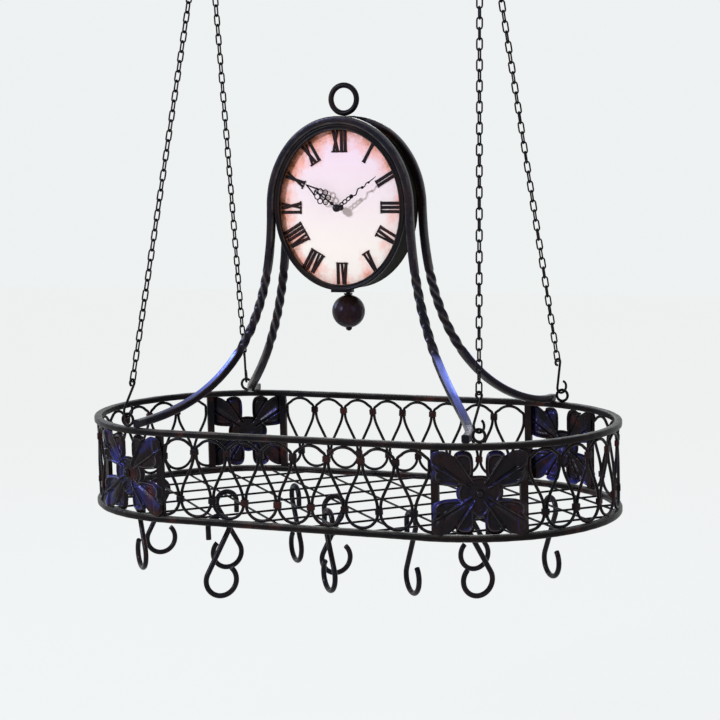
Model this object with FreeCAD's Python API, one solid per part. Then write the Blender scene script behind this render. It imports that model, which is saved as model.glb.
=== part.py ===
import FreeCAD
import Part
import math
import os
from FreeCAD import Vector

# Hanging pot rack of black wrought iron: an oval basket with scroll walls and a lattice floor,
# two arches that carry an oval clock, four chains in two pairs, and S-shaped pot hooks.
# Frame: origin on the ceiling midway between the two ceiling hooks, +Z up, +X to the right
# along the rack, -Y towards the side that the clock faces. Millimetres.

# ---------------------------------------------------------------- driving dimensions
# basket
rack_length = 766.0
rack_width = 402.0
wall_height = 127.0
rim_bar_width = 11.0
rim_bar_height = 9.0
rim_edge_round = 2.0
# upright bars and leaf panels
panel_mid_from_straight = 73.0
panel_bar_pitch = 114.0
upright_bar_width = 10.0
upright_bar_thickness = 6.0
panel_thickness = 2.5
panel_heart_radius = 24.0
panel_chin_drop = 22.0
panel_chin_radius = 14.0
leaf_half_length = 21.5
leaf_half_width = 10.5
leaf_lean = 10.0
top_leaf_out = 19.8
low_leaf_out = 17.8
top_leaf_up = 33.0
side_leaf_out = 31.5
side_leaf_up = 19.0
corner_leaf_out = 34.5
corner_leaf_up = 36.5
corner_leaf_half_length = 23.0
corner_leaf_half_width = 13.0
panel_boss_radius = 7.0
panel_boss_height = 3.5
panel_rib_width = 7.0
panel_rib_height = 2.0
panel_rib_length = 58.0
panel_rivet_radius = 4.0
# scroll wires
scroll_wire_diameter = 4.2
front_loop_count = 8
end_loop_count = 7
collar_depth_below_rim = 28.0
collar_rise_above_rim = 34.0
bulb_shoulder_drop = 6.0
leg_lean_share = 1.35
collar_height = 9.0
collar_wall = 1.2
# lattice floor
floor_rod_diameter = 3.0
floor_rod_spacing = 62.5
floor_rod_offset = 22.0
# arches
arch_bar = 10.6
arch_half_gap = 24.5
arch_upper_handle = 239.0
arch_upper_handle_out = 3.5
arch_lower_handle_side = 8.8
arch_lower_handle_in = 106.2
arch_foot_gap = 1.9
twist_top_height = 218.0
twist_bottom_height = 95.0
twist_turns = 1.75
twist_step_angle = 15.0
# clock
clock_centre_height = 289.8
bezel_half_width = 97.6
bezel_half_height = 114.0
bezel_band = 8.0
bezel_depth = 4.0
case_inset = 2.0
case_wall = 1.6
case_depth = 48.0
dial_recess = 5.0
dial_thickness = 1.2
numeral_height = 30.0
numeral_stroke = 4.2
numeral_relief = 1.2
numeral_edge_gap = 0.5
hand_thickness = 0.8
hour_hand_stand_off = 8.5
hands_apart = 1.6
minute_hand_length = 72.0
hour_hand_length = 57.0
minute_hand_width = 5.0
hour_hand_angle = 304.5
minute_hand_angle = 54.0
minute_hand_bore = 1.0
hour_hand_width = 9.0
hand_hub_radius = 5.0
clock_shaft_radius = 2.5
hour_tube_radius = 4.0
minute_tube_radius = 3.2
movement_size = 56.0
movement_depth = 16.0
hand_nut_radius = 5.5
hand_nut_thickness = 2.0
battery_radius = 7.0
battery_length = 50.0
battery_edge_gap = 4.0
movement_corner = 3.0
sleeve_seat_depth = 3.0
knob_radius = 6.0
knob_depth = 5.0
knob_seat_depth = 3.5
knob_stand_off = 1.0
knob_opening_gap = 2.0
back_cover_thickness = 1.5
back_cover_recess = 1.0
# cross plate and carrying ring above the clock
cross_plate_width = 16.0
cross_plate_thickness = 3.0
carry_ring_radius = 19.0
carry_ring_wire = 7.6
# drop plate, stem and ball below the clock
drop_plate_width = 31.0
drop_plate_depth = 9.0
drop_plate_height = 4.5
drop_tongue_width = 10.0
stem_radius = 3.0
stem_length = 5.0
stem_flange_thickness = 2.0
ball_radius = 23.0
ball_button_radius = 4.5
# rim eyes
eye_radius = 8.0
eye_wire = 4.0
# chains
chain_link_count = 49
link_wire = 2.4
link_inside_length = 14.05
link_width = 9.8
# S-hooks between chain and eye
chain_hook_wire = 3.5
chain_hook_upper_radius = 4.5
chain_hook_lower_radius = 8.5
chain_hook_centres = 38.5
chain_hook_upper_start = 250.0
chain_hook_tip_angle = 55.0
# gathering rings and ceiling hooks
ceiling_hook_spacing = 406.4
top_ring_radius = 16.0
top_ring_wire = 4.0
ring_seat_angle = 15.0
ceiling_hook_wire = 6.0
ceiling_hook_radius = 12.0
ceiling_hook_shank = 8.0
ceiling_hook_neck_radius = 6.0
ceiling_hook_tip_angle = 160.0
ceiling_collar_radius = 7.0
ceiling_collar_height = 2.5
ceiling_screw_radius = 3.0
ceiling_screw_length = 36.0
# pot hooks
pot_hook_wire = 7.3
pot_hook_upper_radius = 15.0
pot_hook_lower_radius = 21.5
pot_hook_height = 118.0
pot_hook_upper_leg = 16.0
pot_hook_tip_angle = 45.0
# clearances
touch_gap = 0.1
loose_gap = 0.3
hook_in_link_gap = 0.5
shaft_gap = 0.05
link_gap = 0.05

# ---------------------------------------------------------------- derived places
end_radius = rack_width / 2
straight_half = rack_length / 2 - end_radius
wall_radius = end_radius - rim_bar_width / 2
inner_radius = end_radius - rim_bar_width
quarter_length = straight_half + wall_radius * math.pi / 2
panel_mid = straight_half + panel_mid_from_straight
panel_angle = panel_mid_from_straight / wall_radius
front_bar_at = panel_mid - panel_bar_pitch / 2
end_bar_at = panel_mid + panel_bar_pitch / 2
eye_x = straight_half + wall_radius * math.sin(panel_angle)
eye_y = wall_radius * math.cos(panel_angle)
foot_before_eye = eye_radius + eye_wire / 2 + arch_bar / 2 + arch_foot_gap
arch_foot_turn = (panel_mid_from_straight - foot_before_eye) / wall_radius
eye_top_above_rim = 2 * eye_radius + eye_wire / 2 - loose_gap

link_end_radius = (link_width - link_wire) / 2
link_inside_radius = link_end_radius - link_wire / 2
link_straight = link_inside_length - 2 * link_inside_radius
link_step = link_straight + link_inside_radius - link_wire / 2 - link_gap + link_end_radius
first_link_drop = link_inside_radius - top_ring_wire / 2 - touch_gap
hook_below_link = link_inside_radius - chain_hook_wire / 2 - hook_in_link_gap + chain_hook_upper_radius
eye_below_hook = chain_hook_lower_radius - eye_wire / 2 - chain_hook_wire / 2 - loose_gap
chain_run = (first_link_drop + (chain_link_count - 1) * link_step + link_straight
             + hook_below_link + chain_hook_centres + eye_below_hook)

neck_to_bowl = math.sqrt((ceiling_hook_radius + ceiling_hook_neck_radius) ** 2
                         - ceiling_hook_neck_radius ** 2)
bowl_centre_z = -ceiling_collar_height - ceiling_hook_shank - neck_to_bowl
front_swing_z = bowl_centre_z - ceiling_hook_radius
top_ring_z = (front_swing_z + ceiling_hook_wire / 2 + top_ring_wire / 2 + touch_gap
              - top_ring_radius)
hook_x = ceiling_hook_spacing / 2
seat_y = top_ring_radius * math.sin(math.radians(ring_seat_angle))
seat_z = top_ring_z - top_ring_radius * math.cos(math.radians(ring_seat_angle))
chain_fall = math.sqrt(chain_run ** 2 - (eye_x - hook_x) ** 2 - (eye_y - seat_y) ** 2)
eye_contact_z = seat_z - chain_fall
rim_top = eye_contact_z - eye_top_above_rim
rim_bottom = rim_top - wall_height

floor_z = rim_bottom + rim_bar_height / 2
clock_z = rim_top + clock_centre_height
drop_plate_top = clock_z - (bezel_half_height - case_inset) - touch_gap
stem_top = drop_plate_top - drop_plate_height - touch_gap
ball_z = stem_top - stem_length - touch_gap - ball_radius
arch_top_z = clock_z + bezel_half_height + loose_gap + arch_bar


# ---------------------------------------------------------------- helpers
def save(name, solids):
    """Write one node: a single solid, or a group of separate solids."""
    shape = solids[0] if len(solids) == 1 else Part.makeCompound(solids)
    shape.exportStep("parts/" + name + ".step")
    volume = sum(solid.Volume for solid in shape.Solids)
    print("%-26s %3d solids  %9.1f mm3  valid %s" % (name, len(shape.Solids), volume, shape.isValid()))
    return shape


def arc_from_tangent(start, tangent, end):
    """Circular edge from start, leaving along tangent, to end; a line when they are in line."""
    chord = end - start
    along = Vector(chord).normalize()
    side = tangent - along * tangent.dot(along)
    if side.Length < 1e-6:
        return Part.LineSegment(start, end).toShape()
    half_angle = math.atan2(side.Length, tangent.dot(along)) / 2
    rise = chord.Length / 2 * math.tan(half_angle)
    middle = start + chord * 0.5 + side.normalize() * rise
    return Part.Arc(start, middle, end).toShape()


def biarc(start, start_tangent, end, end_tangent):
    """Two tangent arcs that join two points and their directions."""
    chord = end - start
    total = start_tangent + end_tangent
    bend = 2 * (1 - start_tangent.dot(end_tangent))
    reach = chord.dot(total)
    if bend < 1e-9:
        handle = chord.dot(chord) / (2 * reach)
    else:
        handle = (-reach + math.sqrt(reach ** 2 + bend * chord.dot(chord))) / bend
    first = start + start_tangent * handle
    last = end - end_tangent * handle
    middle = (first + last) * 0.5
    second = (last - first).normalize()
    return [arc_from_tangent(start, start_tangent, middle), arc_from_tangent(middle, second, end)]


def smooth_edges(points, tangents):
    """Chain of biarcs through points with given directions."""
    edges = []
    for i in range(len(points) - 1):
        edges += biarc(points[i], tangents[i], points[i + 1], tangents[i + 1])
    return edges


def round_wire(edges, radius):
    """Solid round wire along tangent edges."""
    path = Part.Wire(edges)
    first = edges[0]
    profile = Part.Wire([Part.Circle(first.valueAt(first.FirstParameter),
                                     first.tangentAt(first.FirstParameter), radius).toShape()])
    return path.makePipeShell([profile], True, False)


def plane_point(centre, right, up, across, height):
    return centre + right * across + up * height


def ring_solid(centre, normal, radius, wire):
    return Part.makeTorus(radius, wire / 2, centre, normal)


def oval_prism(half_width, half_height, y_front, depth):
    """Upright oval plate or plug centred on the clock, from y_front back by depth."""
    if half_height > half_width:
        ellipse = Part.Ellipse(Vector(0, y_front, clock_z + half_height),
                               Vector(half_width, y_front, clock_z), Vector(0, y_front, clock_z))
    else:
        ellipse = Part.Ellipse(Vector(half_width, y_front, clock_z),
                               Vector(0, y_front, clock_z + half_height), Vector(0, y_front, clock_z))
    face = Part.Face(Part.Wire([ellipse.toShape()]))
    return face.extrude(Vector(0, depth, 0))


def mirrored(shape, in_x, in_y):
    """The same piece on another corner of the rack."""
    result = shape
    if in_x:
        result = result.mirror(Vector(0, 0, 0), Vector(1, 0, 0))
    if in_y:
        result = result.mirror(Vector(0, 0, 0), Vector(0, 1, 0))
    return result


# ---------------------------------------------------------------- the basket's outline
def wall_place(along, radius=wall_radius):
    """Point, direction and outward normal of the wall, along from the middle of the front."""
    lap = 4 * quarter_length
    along = (along + lap / 2) % lap - lap / 2
    sign = 1 if along >= 0 else -1
    run = abs(along)
    turn = min(max(run - straight_half, 0) / wall_radius, math.pi)
    past_back = max(run - straight_half - math.pi * wall_radius, 0)
    x = min(run, straight_half) - past_back + radius * math.sin(turn)
    y = -radius * math.cos(turn)
    point = Vector(sign * x, y, 0)
    direction = Vector(math.cos(turn), sign * math.sin(turn), 0)
    outward = Vector(sign * math.sin(turn), -math.cos(turn), 0)
    return point, direction, outward


def oval_wire(radius, z):
    """Closed outline: two straights and two half circles."""
    right = Vector(straight_half, 0, z)
    left = Vector(-straight_half, 0, z)
    y_way = Vector(0, radius, 0)
    x_way = Vector(radius, 0, 0)
    edges = [
        Part.LineSegment(left - y_way, right - y_way).toShape(),
        Part.Arc(right - y_way, right + x_way, right + y_way).toShape(),
        Part.LineSegment(right + y_way, left + y_way).toShape(),
        Part.Arc(left + y_way, left - x_way, left - y_way).toShape(),
    ]
    return Part.Wire(edges)


def rounded_section(middle, across, width, height, edge):
    """Closed upright section with rounded corners, level side along across."""
    up = Vector(0, 0, 1)
    w = width / 2
    h = height / 2
    corners = [(1, 1), (-1, 1), (-1, -1), (1, -1)]
    edges = []
    for i in range(4):
        a, b = corners[i]
        c, d = corners[(i + 1) % 4]
        soft = edge * (1 - math.sqrt(0.5))
        on_side = a * b > 0
        into = plane_point(middle, across, up,
                           a * (w if on_side else w - edge), b * (h - edge if on_side else h))
        peak = plane_point(middle, across, up, a * (w - soft), b * (h - soft))
        away = plane_point(middle, across, up,
                           a * (w - edge if on_side else w), b * (h if on_side else h - edge))
        edges.append(Part.Arc(into, peak, away).toShape())
        following = plane_point(middle, across, up, c * (w if c * d > 0 else w - edge),
                                d * (h - edge if c * d > 0 else h))
        edges.append(Part.LineSegment(away, following).toShape())
    return Part.Wire(edges)


def rim_hoop(bottom):
    """Flat bar with softened edges, bent to the basket's outline."""
    z = bottom + rim_bar_height / 2
    path = oval_wire(wall_radius, z)
    section = rounded_section(Vector(-straight_half, -wall_radius, z), Vector(0, -1, 0),
                              rim_bar_width, rim_bar_height, rim_edge_round)
    return path.makePipeShell([section], True, False)


# ---------------------------------------------------------------- scroll walls
def scroll_half_loop(middle, side, pitch, low_end):
    """Key points (along, height) and directions from a top crown down to the next low crown."""
    hold = scroll_wire_diameter / 2 + touch_gap
    top = rim_top - rim_bar_height - scroll_wire_diameter / 2 - touch_gap
    bottom = rim_bottom + rim_bar_height + scroll_wire_diameter / 2 + touch_gap
    collar_top = rim_top - collar_depth_below_rim
    collar_low = rim_bottom + collar_rise_above_rim
    wide = pitch / 2 - hold
    clamped = collar_height / 2
    lean = math.atan2(wide - hold, collar_top - collar_low - 2 * clamped) * leg_lean_share
    half = (wide + hold) / 2
    shoulder = math.sqrt(0.5)
    return [
        ((middle, top), (side, 0)),
        ((middle + side * wide * shoulder, top - bulb_shoulder_drop), (side * shoulder, -shoulder)),
        ((middle + side * wide, collar_top + clamped), (0, -1)),
        ((middle + side * wide, collar_top - clamped), (0, -1)),
        ((middle + side * half, (collar_top + collar_low) / 2),
         (-side * math.sin(lean), -math.cos(lean))),
        ((middle + side * hold, collar_low + clamped), (0, -1)),
        ((middle + side * hold, collar_low - clamped), (0, -1)),
        ((low_end - side * wide * shoulder, bottom + bulb_shoulder_drop), (side * shoulder, -shoulder)),
        ((low_end, bottom), (side, 0)),
    ]


def scroll_keys(first, last, loops):
    """Key points of one serpentine wire between two upright bars."""
    pitch = (last - first) / loops
    keys = []
    for i in range(loops):
        middle = first + (i + 0.5) * pitch
        rising = scroll_half_loop(middle, -1, pitch, middle - pitch / 2)
        falling = scroll_half_loop(middle, 1, pitch, middle + pitch / 2)
        up = [(point, (-way[0], -way[1])) for point, way in reversed(rising)]
        keys += up[:-1] if i == 0 else up[1:-1]
        keys += falling
    return keys


def on_wall(key):
    (along, height), (run, climb) = key
    point, direction, outward = wall_place(along)
    place = Vector(point.x, point.y, height)
    way = direction * run + Vector(0, 0, climb)
    return place, way.normalize()


def scroll_wire(first, last, loops):
    places = [on_wall(key) for key in scroll_keys(first, last, loops)]
    edges = smooth_edges([place for place, way in places], [way for place, way in places])
    return round_wire(edges, scroll_wire_diameter / 2)


def collar(along, z):
    """Band round two touching wires."""
    point, direction, outward = wall_place(along)
    hole_width = 2 * scroll_wire_diameter + 4 * touch_gap
    hole_depth = scroll_wire_diameter + 2 * touch_gap
    width = hole_width + 2 * collar_wall
    depth = hole_depth + 2 * collar_wall
    block = Part.makeBox(width, depth, collar_height)
    hole = Part.makeBox(hole_width, hole_depth, collar_height)
    hole.translate(Vector(collar_wall, collar_wall, 0))
    band = block.cut(hole)
    band.translate(Vector(-width / 2, -depth / 2, -collar_height / 2))
    band.rotate(Vector(0, 0, 0), Vector(0, 0, 1), math.degrees(math.atan2(direction.y, direction.x)))
    band.translate(Vector(point.x, point.y, z))
    return band


def wall_collars(first, last, loops):
    pitch = (last - first) / loops
    high = [collar(first + i * pitch, rim_top - collar_depth_below_rim) for i in range(1, loops)]
    low = [collar(first + (i + 0.5) * pitch, rim_bottom + collar_rise_above_rim) for i in range(loops)]
    return high + low


def upright_bar(along):
    point, direction, outward = wall_place(along)
    height = wall_height - 2 * rim_bar_height
    bar = Part.makeBox(upright_bar_width, upright_bar_thickness, height)
    bar.translate(Vector(-upright_bar_width / 2, -upright_bar_thickness / 2, 0))
    bar.rotate(Vector(0, 0, 0), Vector(0, 0, 1), math.degrees(math.atan2(direction.y, direction.x)))
    bar.translate(Vector(point.x, point.y, rim_bottom + rim_bar_height))
    return bar


# ---------------------------------------------------------------- leaf panels
def panel_frame():
    """Middle of the front right panel, with its directions."""
    point, direction, outward = wall_place(panel_mid)
    return Vector(point.x, point.y, (rim_top + rim_bottom) / 2), direction, outward


def panel_tool(outline, centre, right, outward, reach):
    """Prism through the wall from a flat outline of (across, height) points."""
    up = Vector(0, 0, 1)
    points = [plane_point(centre - outward * reach, right, up, a, h) for a, h in outline]
    wire = Part.makePolygon(points + [points[0]])
    return Part.Face(wire).extrude(outward * 2 * reach)


def leaf_tool(centre, right, outward, reach, across, rise, half_length, half_width, heading):
    """Oval prism through the wall; heading is its long axis in degrees from level."""
    up = Vector(0, 0, 1)
    turn = math.radians(heading)
    middle = plane_point(centre - outward * reach, right, up, across, rise)
    long_way = right * math.cos(turn) + up * math.sin(turn)
    short_way = up * math.cos(turn) - right * math.sin(turn)
    ellipse = Part.Ellipse(middle + long_way * half_length, middle + short_way * half_width, middle)
    return Part.Face(Part.Wire([ellipse.toShape()])).extrude(outward * 2 * reach)


def panel_shell(inner, outer, height):
    """Part of a round wall between two radii about the end's centre."""
    centre = Vector(straight_half, 0, (rim_top + rim_bottom - height) / 2)
    return Part.makeCylinder(outer, height, centre).cut(Part.makeCylinder(inner, height, centre))


def leaf_panel():
    centre, right, outward = panel_frame()
    bar_turn = panel_bar_pitch / 2 / wall_radius
    width = 2 * (wall_radius * math.sin(bar_turn) - upright_bar_width / 2 * math.cos(bar_turn) - touch_gap)
    height = wall_height - 2 * rim_bar_height - 2 * touch_gap
    reach = 30.0
    w = width / 2
    h = height / 2
    frame = (centre, right, outward, reach)
    behind = centre - outward * reach
    chin = behind - Vector(0, 0, panel_chin_drop)
    leaves = [Part.makeCylinder(panel_heart_radius, 2 * reach, behind, outward),
              Part.makeCylinder(panel_chin_radius, 2 * reach, chin, outward)]
    for sx in (1, -1):
        for sz in (1, -1):
            out = top_leaf_out if sz > 0 else low_leaf_out
            leaves.append(leaf_tool(*frame, sx * out, sz * top_leaf_up,
                                    leaf_half_length, leaf_half_width, 90 - sx * sz * leaf_lean))
            leaves.append(leaf_tool(*frame, sx * side_leaf_out, sz * side_leaf_up,
                                    leaf_half_length, leaf_half_width, sx * sz * leaf_lean))
            leaves.append(leaf_tool(*frame, sx * corner_leaf_out, sz * corner_leaf_up,
                                    corner_leaf_half_length, corner_leaf_half_width, sx * sz * 45))
    cross = leaves[0].multiFuse(leaves[1:])
    blank = panel_tool([(-w, -h), (w, -h), (w, h), (-w, h)], centre, right, outward, reach)
    plate = cross.common(blank).common(panel_shell(wall_radius, wall_radius + panel_thickness, height))
    ribs = []
    for diagonal in (math.pi / 4, -math.pi / 4):
        c = math.cos(diagonal)
        s = math.sin(diagonal)
        half = panel_rib_length
        r = panel_rib_width / 2
        ends = [(-half, -r), (half, -r), (half, r), (-half, r)]
        outline = [(a * c - b * s, a * s + b * c) for a, b in ends]
        ribs.append(panel_tool(outline, centre, right, outward, reach))
    outer = wall_radius + panel_thickness + panel_rib_height
    raised = ribs[0].fuse(ribs[1]).common(panel_shell(wall_radius + panel_thickness / 2, outer, height))
    boss_base = centre + outward * panel_thickness / 2
    boss = Part.makeCylinder(panel_boss_radius, panel_thickness / 2 + panel_boss_height, boss_base, outward)
    return plate.multiFuse([raised, boss]).removeSplitter()


def panel_rivet():
    """Round rivet head on the boss."""
    centre, right, outward = panel_frame()
    base = centre + outward * (panel_thickness + panel_boss_height)
    ball = Part.makeSphere(panel_rivet_radius, base)
    cutter = Part.makeCylinder(2 * panel_rivet_radius, 2 * panel_rivet_radius, base, outward * -1)
    return ball.cut(cutter)


# ---------------------------------------------------------------- lattice floor
def rod_point(family, number, along):
    """Plan position on a floor rod: family 1 runs to the back right, family -1 to the front right."""
    across = family * floor_rod_offset + number * floor_rod_spacing
    root = math.sqrt(0.5)
    return Vector((across + along) * root, family * (along - across) * root, rod_level(family))


def rod_level(family):
    return floor_z + family * floor_rod_diameter / 2


def rod_end(family, number, end):
    """How far along a rod it meets the hoop, on the right (end 1) or on the left (end -1)."""
    inside = 0.0
    outside = rack_length
    for i in range(40):
        middle = (inside + outside) / 2
        spot = rod_point(family, number, end * middle)
        if math.hypot(max(abs(spot.x) - straight_half, 0), spot.y) < inner_radius:
            inside = middle
        else:
            outside = middle
    return end * inside


def floor_rods(family):
    inside = Part.Face(oval_wire(inner_radius, rim_bottom)).extrude(Vector(0, 0, rim_bar_height))
    reach = rack_length / 2
    count = int(reach / floor_rod_spacing) + 1
    rods = []
    for number in range(-count, count + 1):
        start = rod_point(family, number, -reach)
        end = rod_point(family, number, reach)
        rod = Part.makeCylinder(floor_rod_diameter / 2, 2 * reach, start, end - start)
        rods += [piece for piece in rod.common(inside).Solids]
    return rods


# ---------------------------------------------------------------- arches
def leg_point(t):
    """Centre line of the front right leg, from beside the clock (t = 0) to its foot (t = 1)."""
    top = Vector(bezel_half_width + arch_bar / 2 + loose_gap, -arch_half_gap, clock_z)
    foot = Vector(straight_half + wall_radius * math.sin(arch_foot_turn),
                  -wall_radius * math.cos(arch_foot_turn), rim_top + arch_bar / 2 + touch_gap)
    high = top + Vector(arch_upper_handle_out, 0, -arch_upper_handle)
    low = foot + Vector(-arch_lower_handle_side, arch_lower_handle_in, 0)
    s = 1 - t
    return top * s ** 3 + high * (3 * s * s * t) + low * (3 * s * t * t) + foot * t ** 3


def leg_parameter(height):
    """Where on the leg its centre line is this high above the rim."""
    low = 0.0
    high = 1.0
    for i in range(40):
        middle = (low + high) / 2
        if leg_point(middle).z - rim_top > height:
            low = middle
        else:
            high = middle
    return (low + high) / 2


def leg_stations():
    """Parameters down one leg, each with its share of the twist."""
    twist_start = leg_parameter(twist_top_height)
    twist_end = leg_parameter(twist_bottom_height)
    steps = int(360 * twist_turns / twist_step_angle)
    stations = [(twist_start * i / 4, 0.0) for i in range(1, 4)]
    for i in range(steps + 1):
        stations.append((twist_start + (twist_end - twist_start) * i / steps, i / steps))
    plain = 12
    for i in range(1, plain + 1):
        stations.append((twist_end + (1 - twist_end) * i / plain, 1.0))
    return stations


def flat_foot_twist(tangent, side):
    """Whole twist, near the wanted turns, that leaves a flat face of the bar on the rim."""
    other = tangent.cross(side)
    level = math.degrees(math.atan2(other.z, side.z))
    return level + 90 * round((360 * twist_turns - level) / 90)


def arch_top_points(steps):
    """Half oval over the clock, from the left side to the right side."""
    a = bezel_half_width + arch_bar / 2 + loose_gap
    b = bezel_half_height + arch_bar / 2 + loose_gap
    points = []
    for i in range(steps + 1):
        turn = math.pi * (1 - i / steps)
        points.append(Vector(a * math.cos(turn), -arch_half_gap, clock_z + b * math.sin(turn)))
    return points


def carried_frames(points, first_side):
    """Side directions carried along a path without turning about it."""
    sides = [first_side]
    for i in range(1, len(points)):
        tangent = (points[min(i + 1, len(points) - 1)] - points[i - 1]).normalize()
        side = sides[-1] - tangent * sides[-1].dot(tangent)
        sides.append(side.normalize())
    return sides


def square_corners(point, tangent, side, turn):
    other = tangent.cross(side)
    half = arch_bar / 2
    corners = []
    for k in range(4):
        angle = math.radians(turn + 45 + 90 * k)
        reach = half * math.sqrt(2)
        corners.append(point + side * (reach * math.cos(angle)) + other * (reach * math.sin(angle)))
    return corners


def faceted_bar(rings):
    """Solid bar through rings of four corners."""
    faces = []
    for i in range(len(rings) - 1):
        for k in range(4):
            a = rings[i][k]
            b = rings[i][(k + 1) % 4]
            c = rings[i + 1][(k + 1) % 4]
            d = rings[i + 1][k]
            faces.append(Part.Face(Part.makePolygon([a, b, c, a])))
            faces.append(Part.Face(Part.makePolygon([a, c, d, a])))
    for ring in (rings[0], rings[-1]):
        faces.append(Part.Face(Part.makePolygon(ring + [ring[0]])))
    shell = Part.makeShell(faces)
    shell.sewShape()
    solid = Part.makeSolid(shell)
    if solid.Volume < 0:
        solid.reverse()
    return solid


def front_arch_solid():
    top = arch_top_points(48)
    stations = leg_stations()
    start = len(top) // 2
    run = top[start:] + [leg_point(t) for t, share in stations]
    shares = [0.0] * (len(top) - start) + [share for t, share in stations]
    sides = carried_frames(run, Vector(0, 1, 0))
    twist = flat_foot_twist((run[-1] - run[-2]).normalize(), sides[-1])
    rings = []
    for i, point in enumerate(run):
        ahead = run[min(i + 1, len(run) - 1)] - run[max(i - 1, 0)]
        if i == 0:
            ahead = Vector(1, 0, 0)
        rings.append(square_corners(point, ahead.normalize(), sides[i], twist * shares[i]))
    left = []
    for ring in reversed(rings[1:]):
        flipped = [Vector(-p.x, p.y, p.z) for p in ring]
        left.append([flipped[3], flipped[2], flipped[1], flipped[0]])
    middle = rings[0]
    order = [middle[k] for k in range(4)]
    return faceted_bar(align_rings(left + [order] + rings[1:]))


def align_rings(rings):
    """Start every ring at the corner that follows on from the ring before it."""
    result = [rings[0]]
    for ring in rings[1:]:
        before = result[-1]
        best = min(range(8), key=lambda k: ring_distance(before, reorder(ring, k)))
        result.append(reorder(ring, best))
    return result


def reorder(ring, k):
    shifted = [ring[(k + j) % 4] for j in range(4)]
    return shifted if k < 4 else list(reversed(shifted))


def ring_distance(one, other):
    return sum((one[j] - other[j]).Length for j in range(4))


def cross_plate():
    """Flat plate between the tops of both arches, under the carrying ring."""
    depth = 2 * arch_half_gap - arch_bar - 2 * touch_gap
    plate = Part.makeBox(cross_plate_width, depth, cross_plate_thickness)
    plate.translate(Vector(-cross_plate_width / 2, -depth / 2, arch_top_z - cross_plate_thickness))
    return plate


def carry_ring():
    centre = Vector(0, 0, arch_top_z + touch_gap + carry_ring_radius + carry_ring_wire / 2)
    return ring_solid(centre, Vector(0, 1, 0), carry_ring_radius, carry_ring_wire)


# ---------------------------------------------------------------- clock
case_front = -case_depth / 2
dial_front = case_front + dial_recess
hand_front = dial_front - numeral_relief


def clock_case():
    a = bezel_half_width - case_inset
    b = bezel_half_height - case_inset
    outside = oval_prism(a, b, case_front, case_depth)
    inside = oval_prism(a - case_wall, b - case_wall, case_front, case_depth)
    return outside.cut(inside)


def bezel():
    front = case_front - bezel_depth - touch_gap
    ring = oval_prism(bezel_half_width, bezel_half_height, front, bezel_depth)
    hole = oval_prism(bezel_half_width - bezel_band, bezel_half_height - bezel_band, front, bezel_depth)
    return ring.cut(hole)


def inside_case(gap):
    return (bezel_half_width - case_inset - case_wall - gap,
            bezel_half_height - case_inset - case_wall - gap)


def dial():
    a, b = inside_case(touch_gap)
    plate = oval_prism(a, b, dial_front, dial_thickness)
    hole = Part.makeCylinder(hour_tube_radius + loose_gap, 2 * dial_thickness,
                             Vector(0, dial_front - dial_thickness / 2, clock_z), Vector(0, 1, 0))
    return plate.cut(hole)


def back_cover():
    a, b = inside_case(touch_gap)
    y = case_depth / 2 - back_cover_thickness - back_cover_recess
    plate = oval_prism(a, b, y, back_cover_thickness)
    hole = Part.makeCylinder(knob_radius + knob_opening_gap, 3 * back_cover_thickness,
                             Vector(0, y - back_cover_thickness, clock_z), Vector(0, 1, 0))
    return plate.cut(hole)


def stroke(bottom, top):
    """Flat stroke of a numeral between two (across, up) points."""
    way = Vector(top[0] - bottom[0], 0, top[1] - bottom[1])
    unit = Vector(way).normalize()
    side = Vector(unit.z, 0, -unit.x) * (numeral_stroke / 2)
    a = Vector(bottom[0], 0, bottom[1])
    b = Vector(top[0], 0, top[1])
    wire = Part.makePolygon([a - side, b - side, b + side, a + side, a - side])
    return Part.Face(wire).extrude(Vector(0, numeral_relief, 0))


def numeral_strokes(text):
    """Strokes of a Roman numeral centred on x = 0, from z = 0 to its height; V opens inwards."""
    widths = {"I": 1.35 * numeral_stroke, "V": 2.9 * numeral_stroke, "X": 2.9 * numeral_stroke}
    total = sum(widths[letter] for letter in text)
    x = -total / 2
    top = numeral_height
    pieces = []
    for letter in text:
        w = widths[letter]
        lean = (w - 1.6 * numeral_stroke) / 2
        middle = x + w / 2
        if letter == "I":
            pieces.append(stroke((middle, 0), (middle, top)))
        if letter == "V":
            left = stroke((middle - lean, 0), (middle - numeral_stroke * 0.2, top))
            right = stroke((middle + lean, 0), (middle + numeral_stroke * 0.2, top))
            pieces.append(left.fuse(right).removeSplitter())
        if letter == "X":
            rising = stroke((middle - lean, 0), (middle + lean, top))
            falling = stroke((middle + lean, 0), (middle - lean, top))
            pieces.append(rising.fuse(falling).removeSplitter())
        x += w
    return pieces


def dial_numerals():
    names = ["XII", "I", "II", "III", "IV", "V", "VI", "VII", "VIII", "IX", "X", "XI"]
    a = bezel_half_width - bezel_band - numeral_edge_gap
    b = bezel_half_height - bezel_band - numeral_edge_gap
    solids = []
    for hour, text in enumerate(names):
        turn = math.radians(30 * hour)
        reach = a * b / math.hypot(b * math.sin(turn), a * math.cos(turn))
        for piece in numeral_strokes(text):
            piece.translate(Vector(0, dial_front - numeral_relief - touch_gap / 10, reach - numeral_height))
            piece.rotate(Vector(0, 0, 0), Vector(0, 1, 0), 30 * hour)
            piece.translate(Vector(0, 0, clock_z))
            solids += piece.Solids
    return solids


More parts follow.
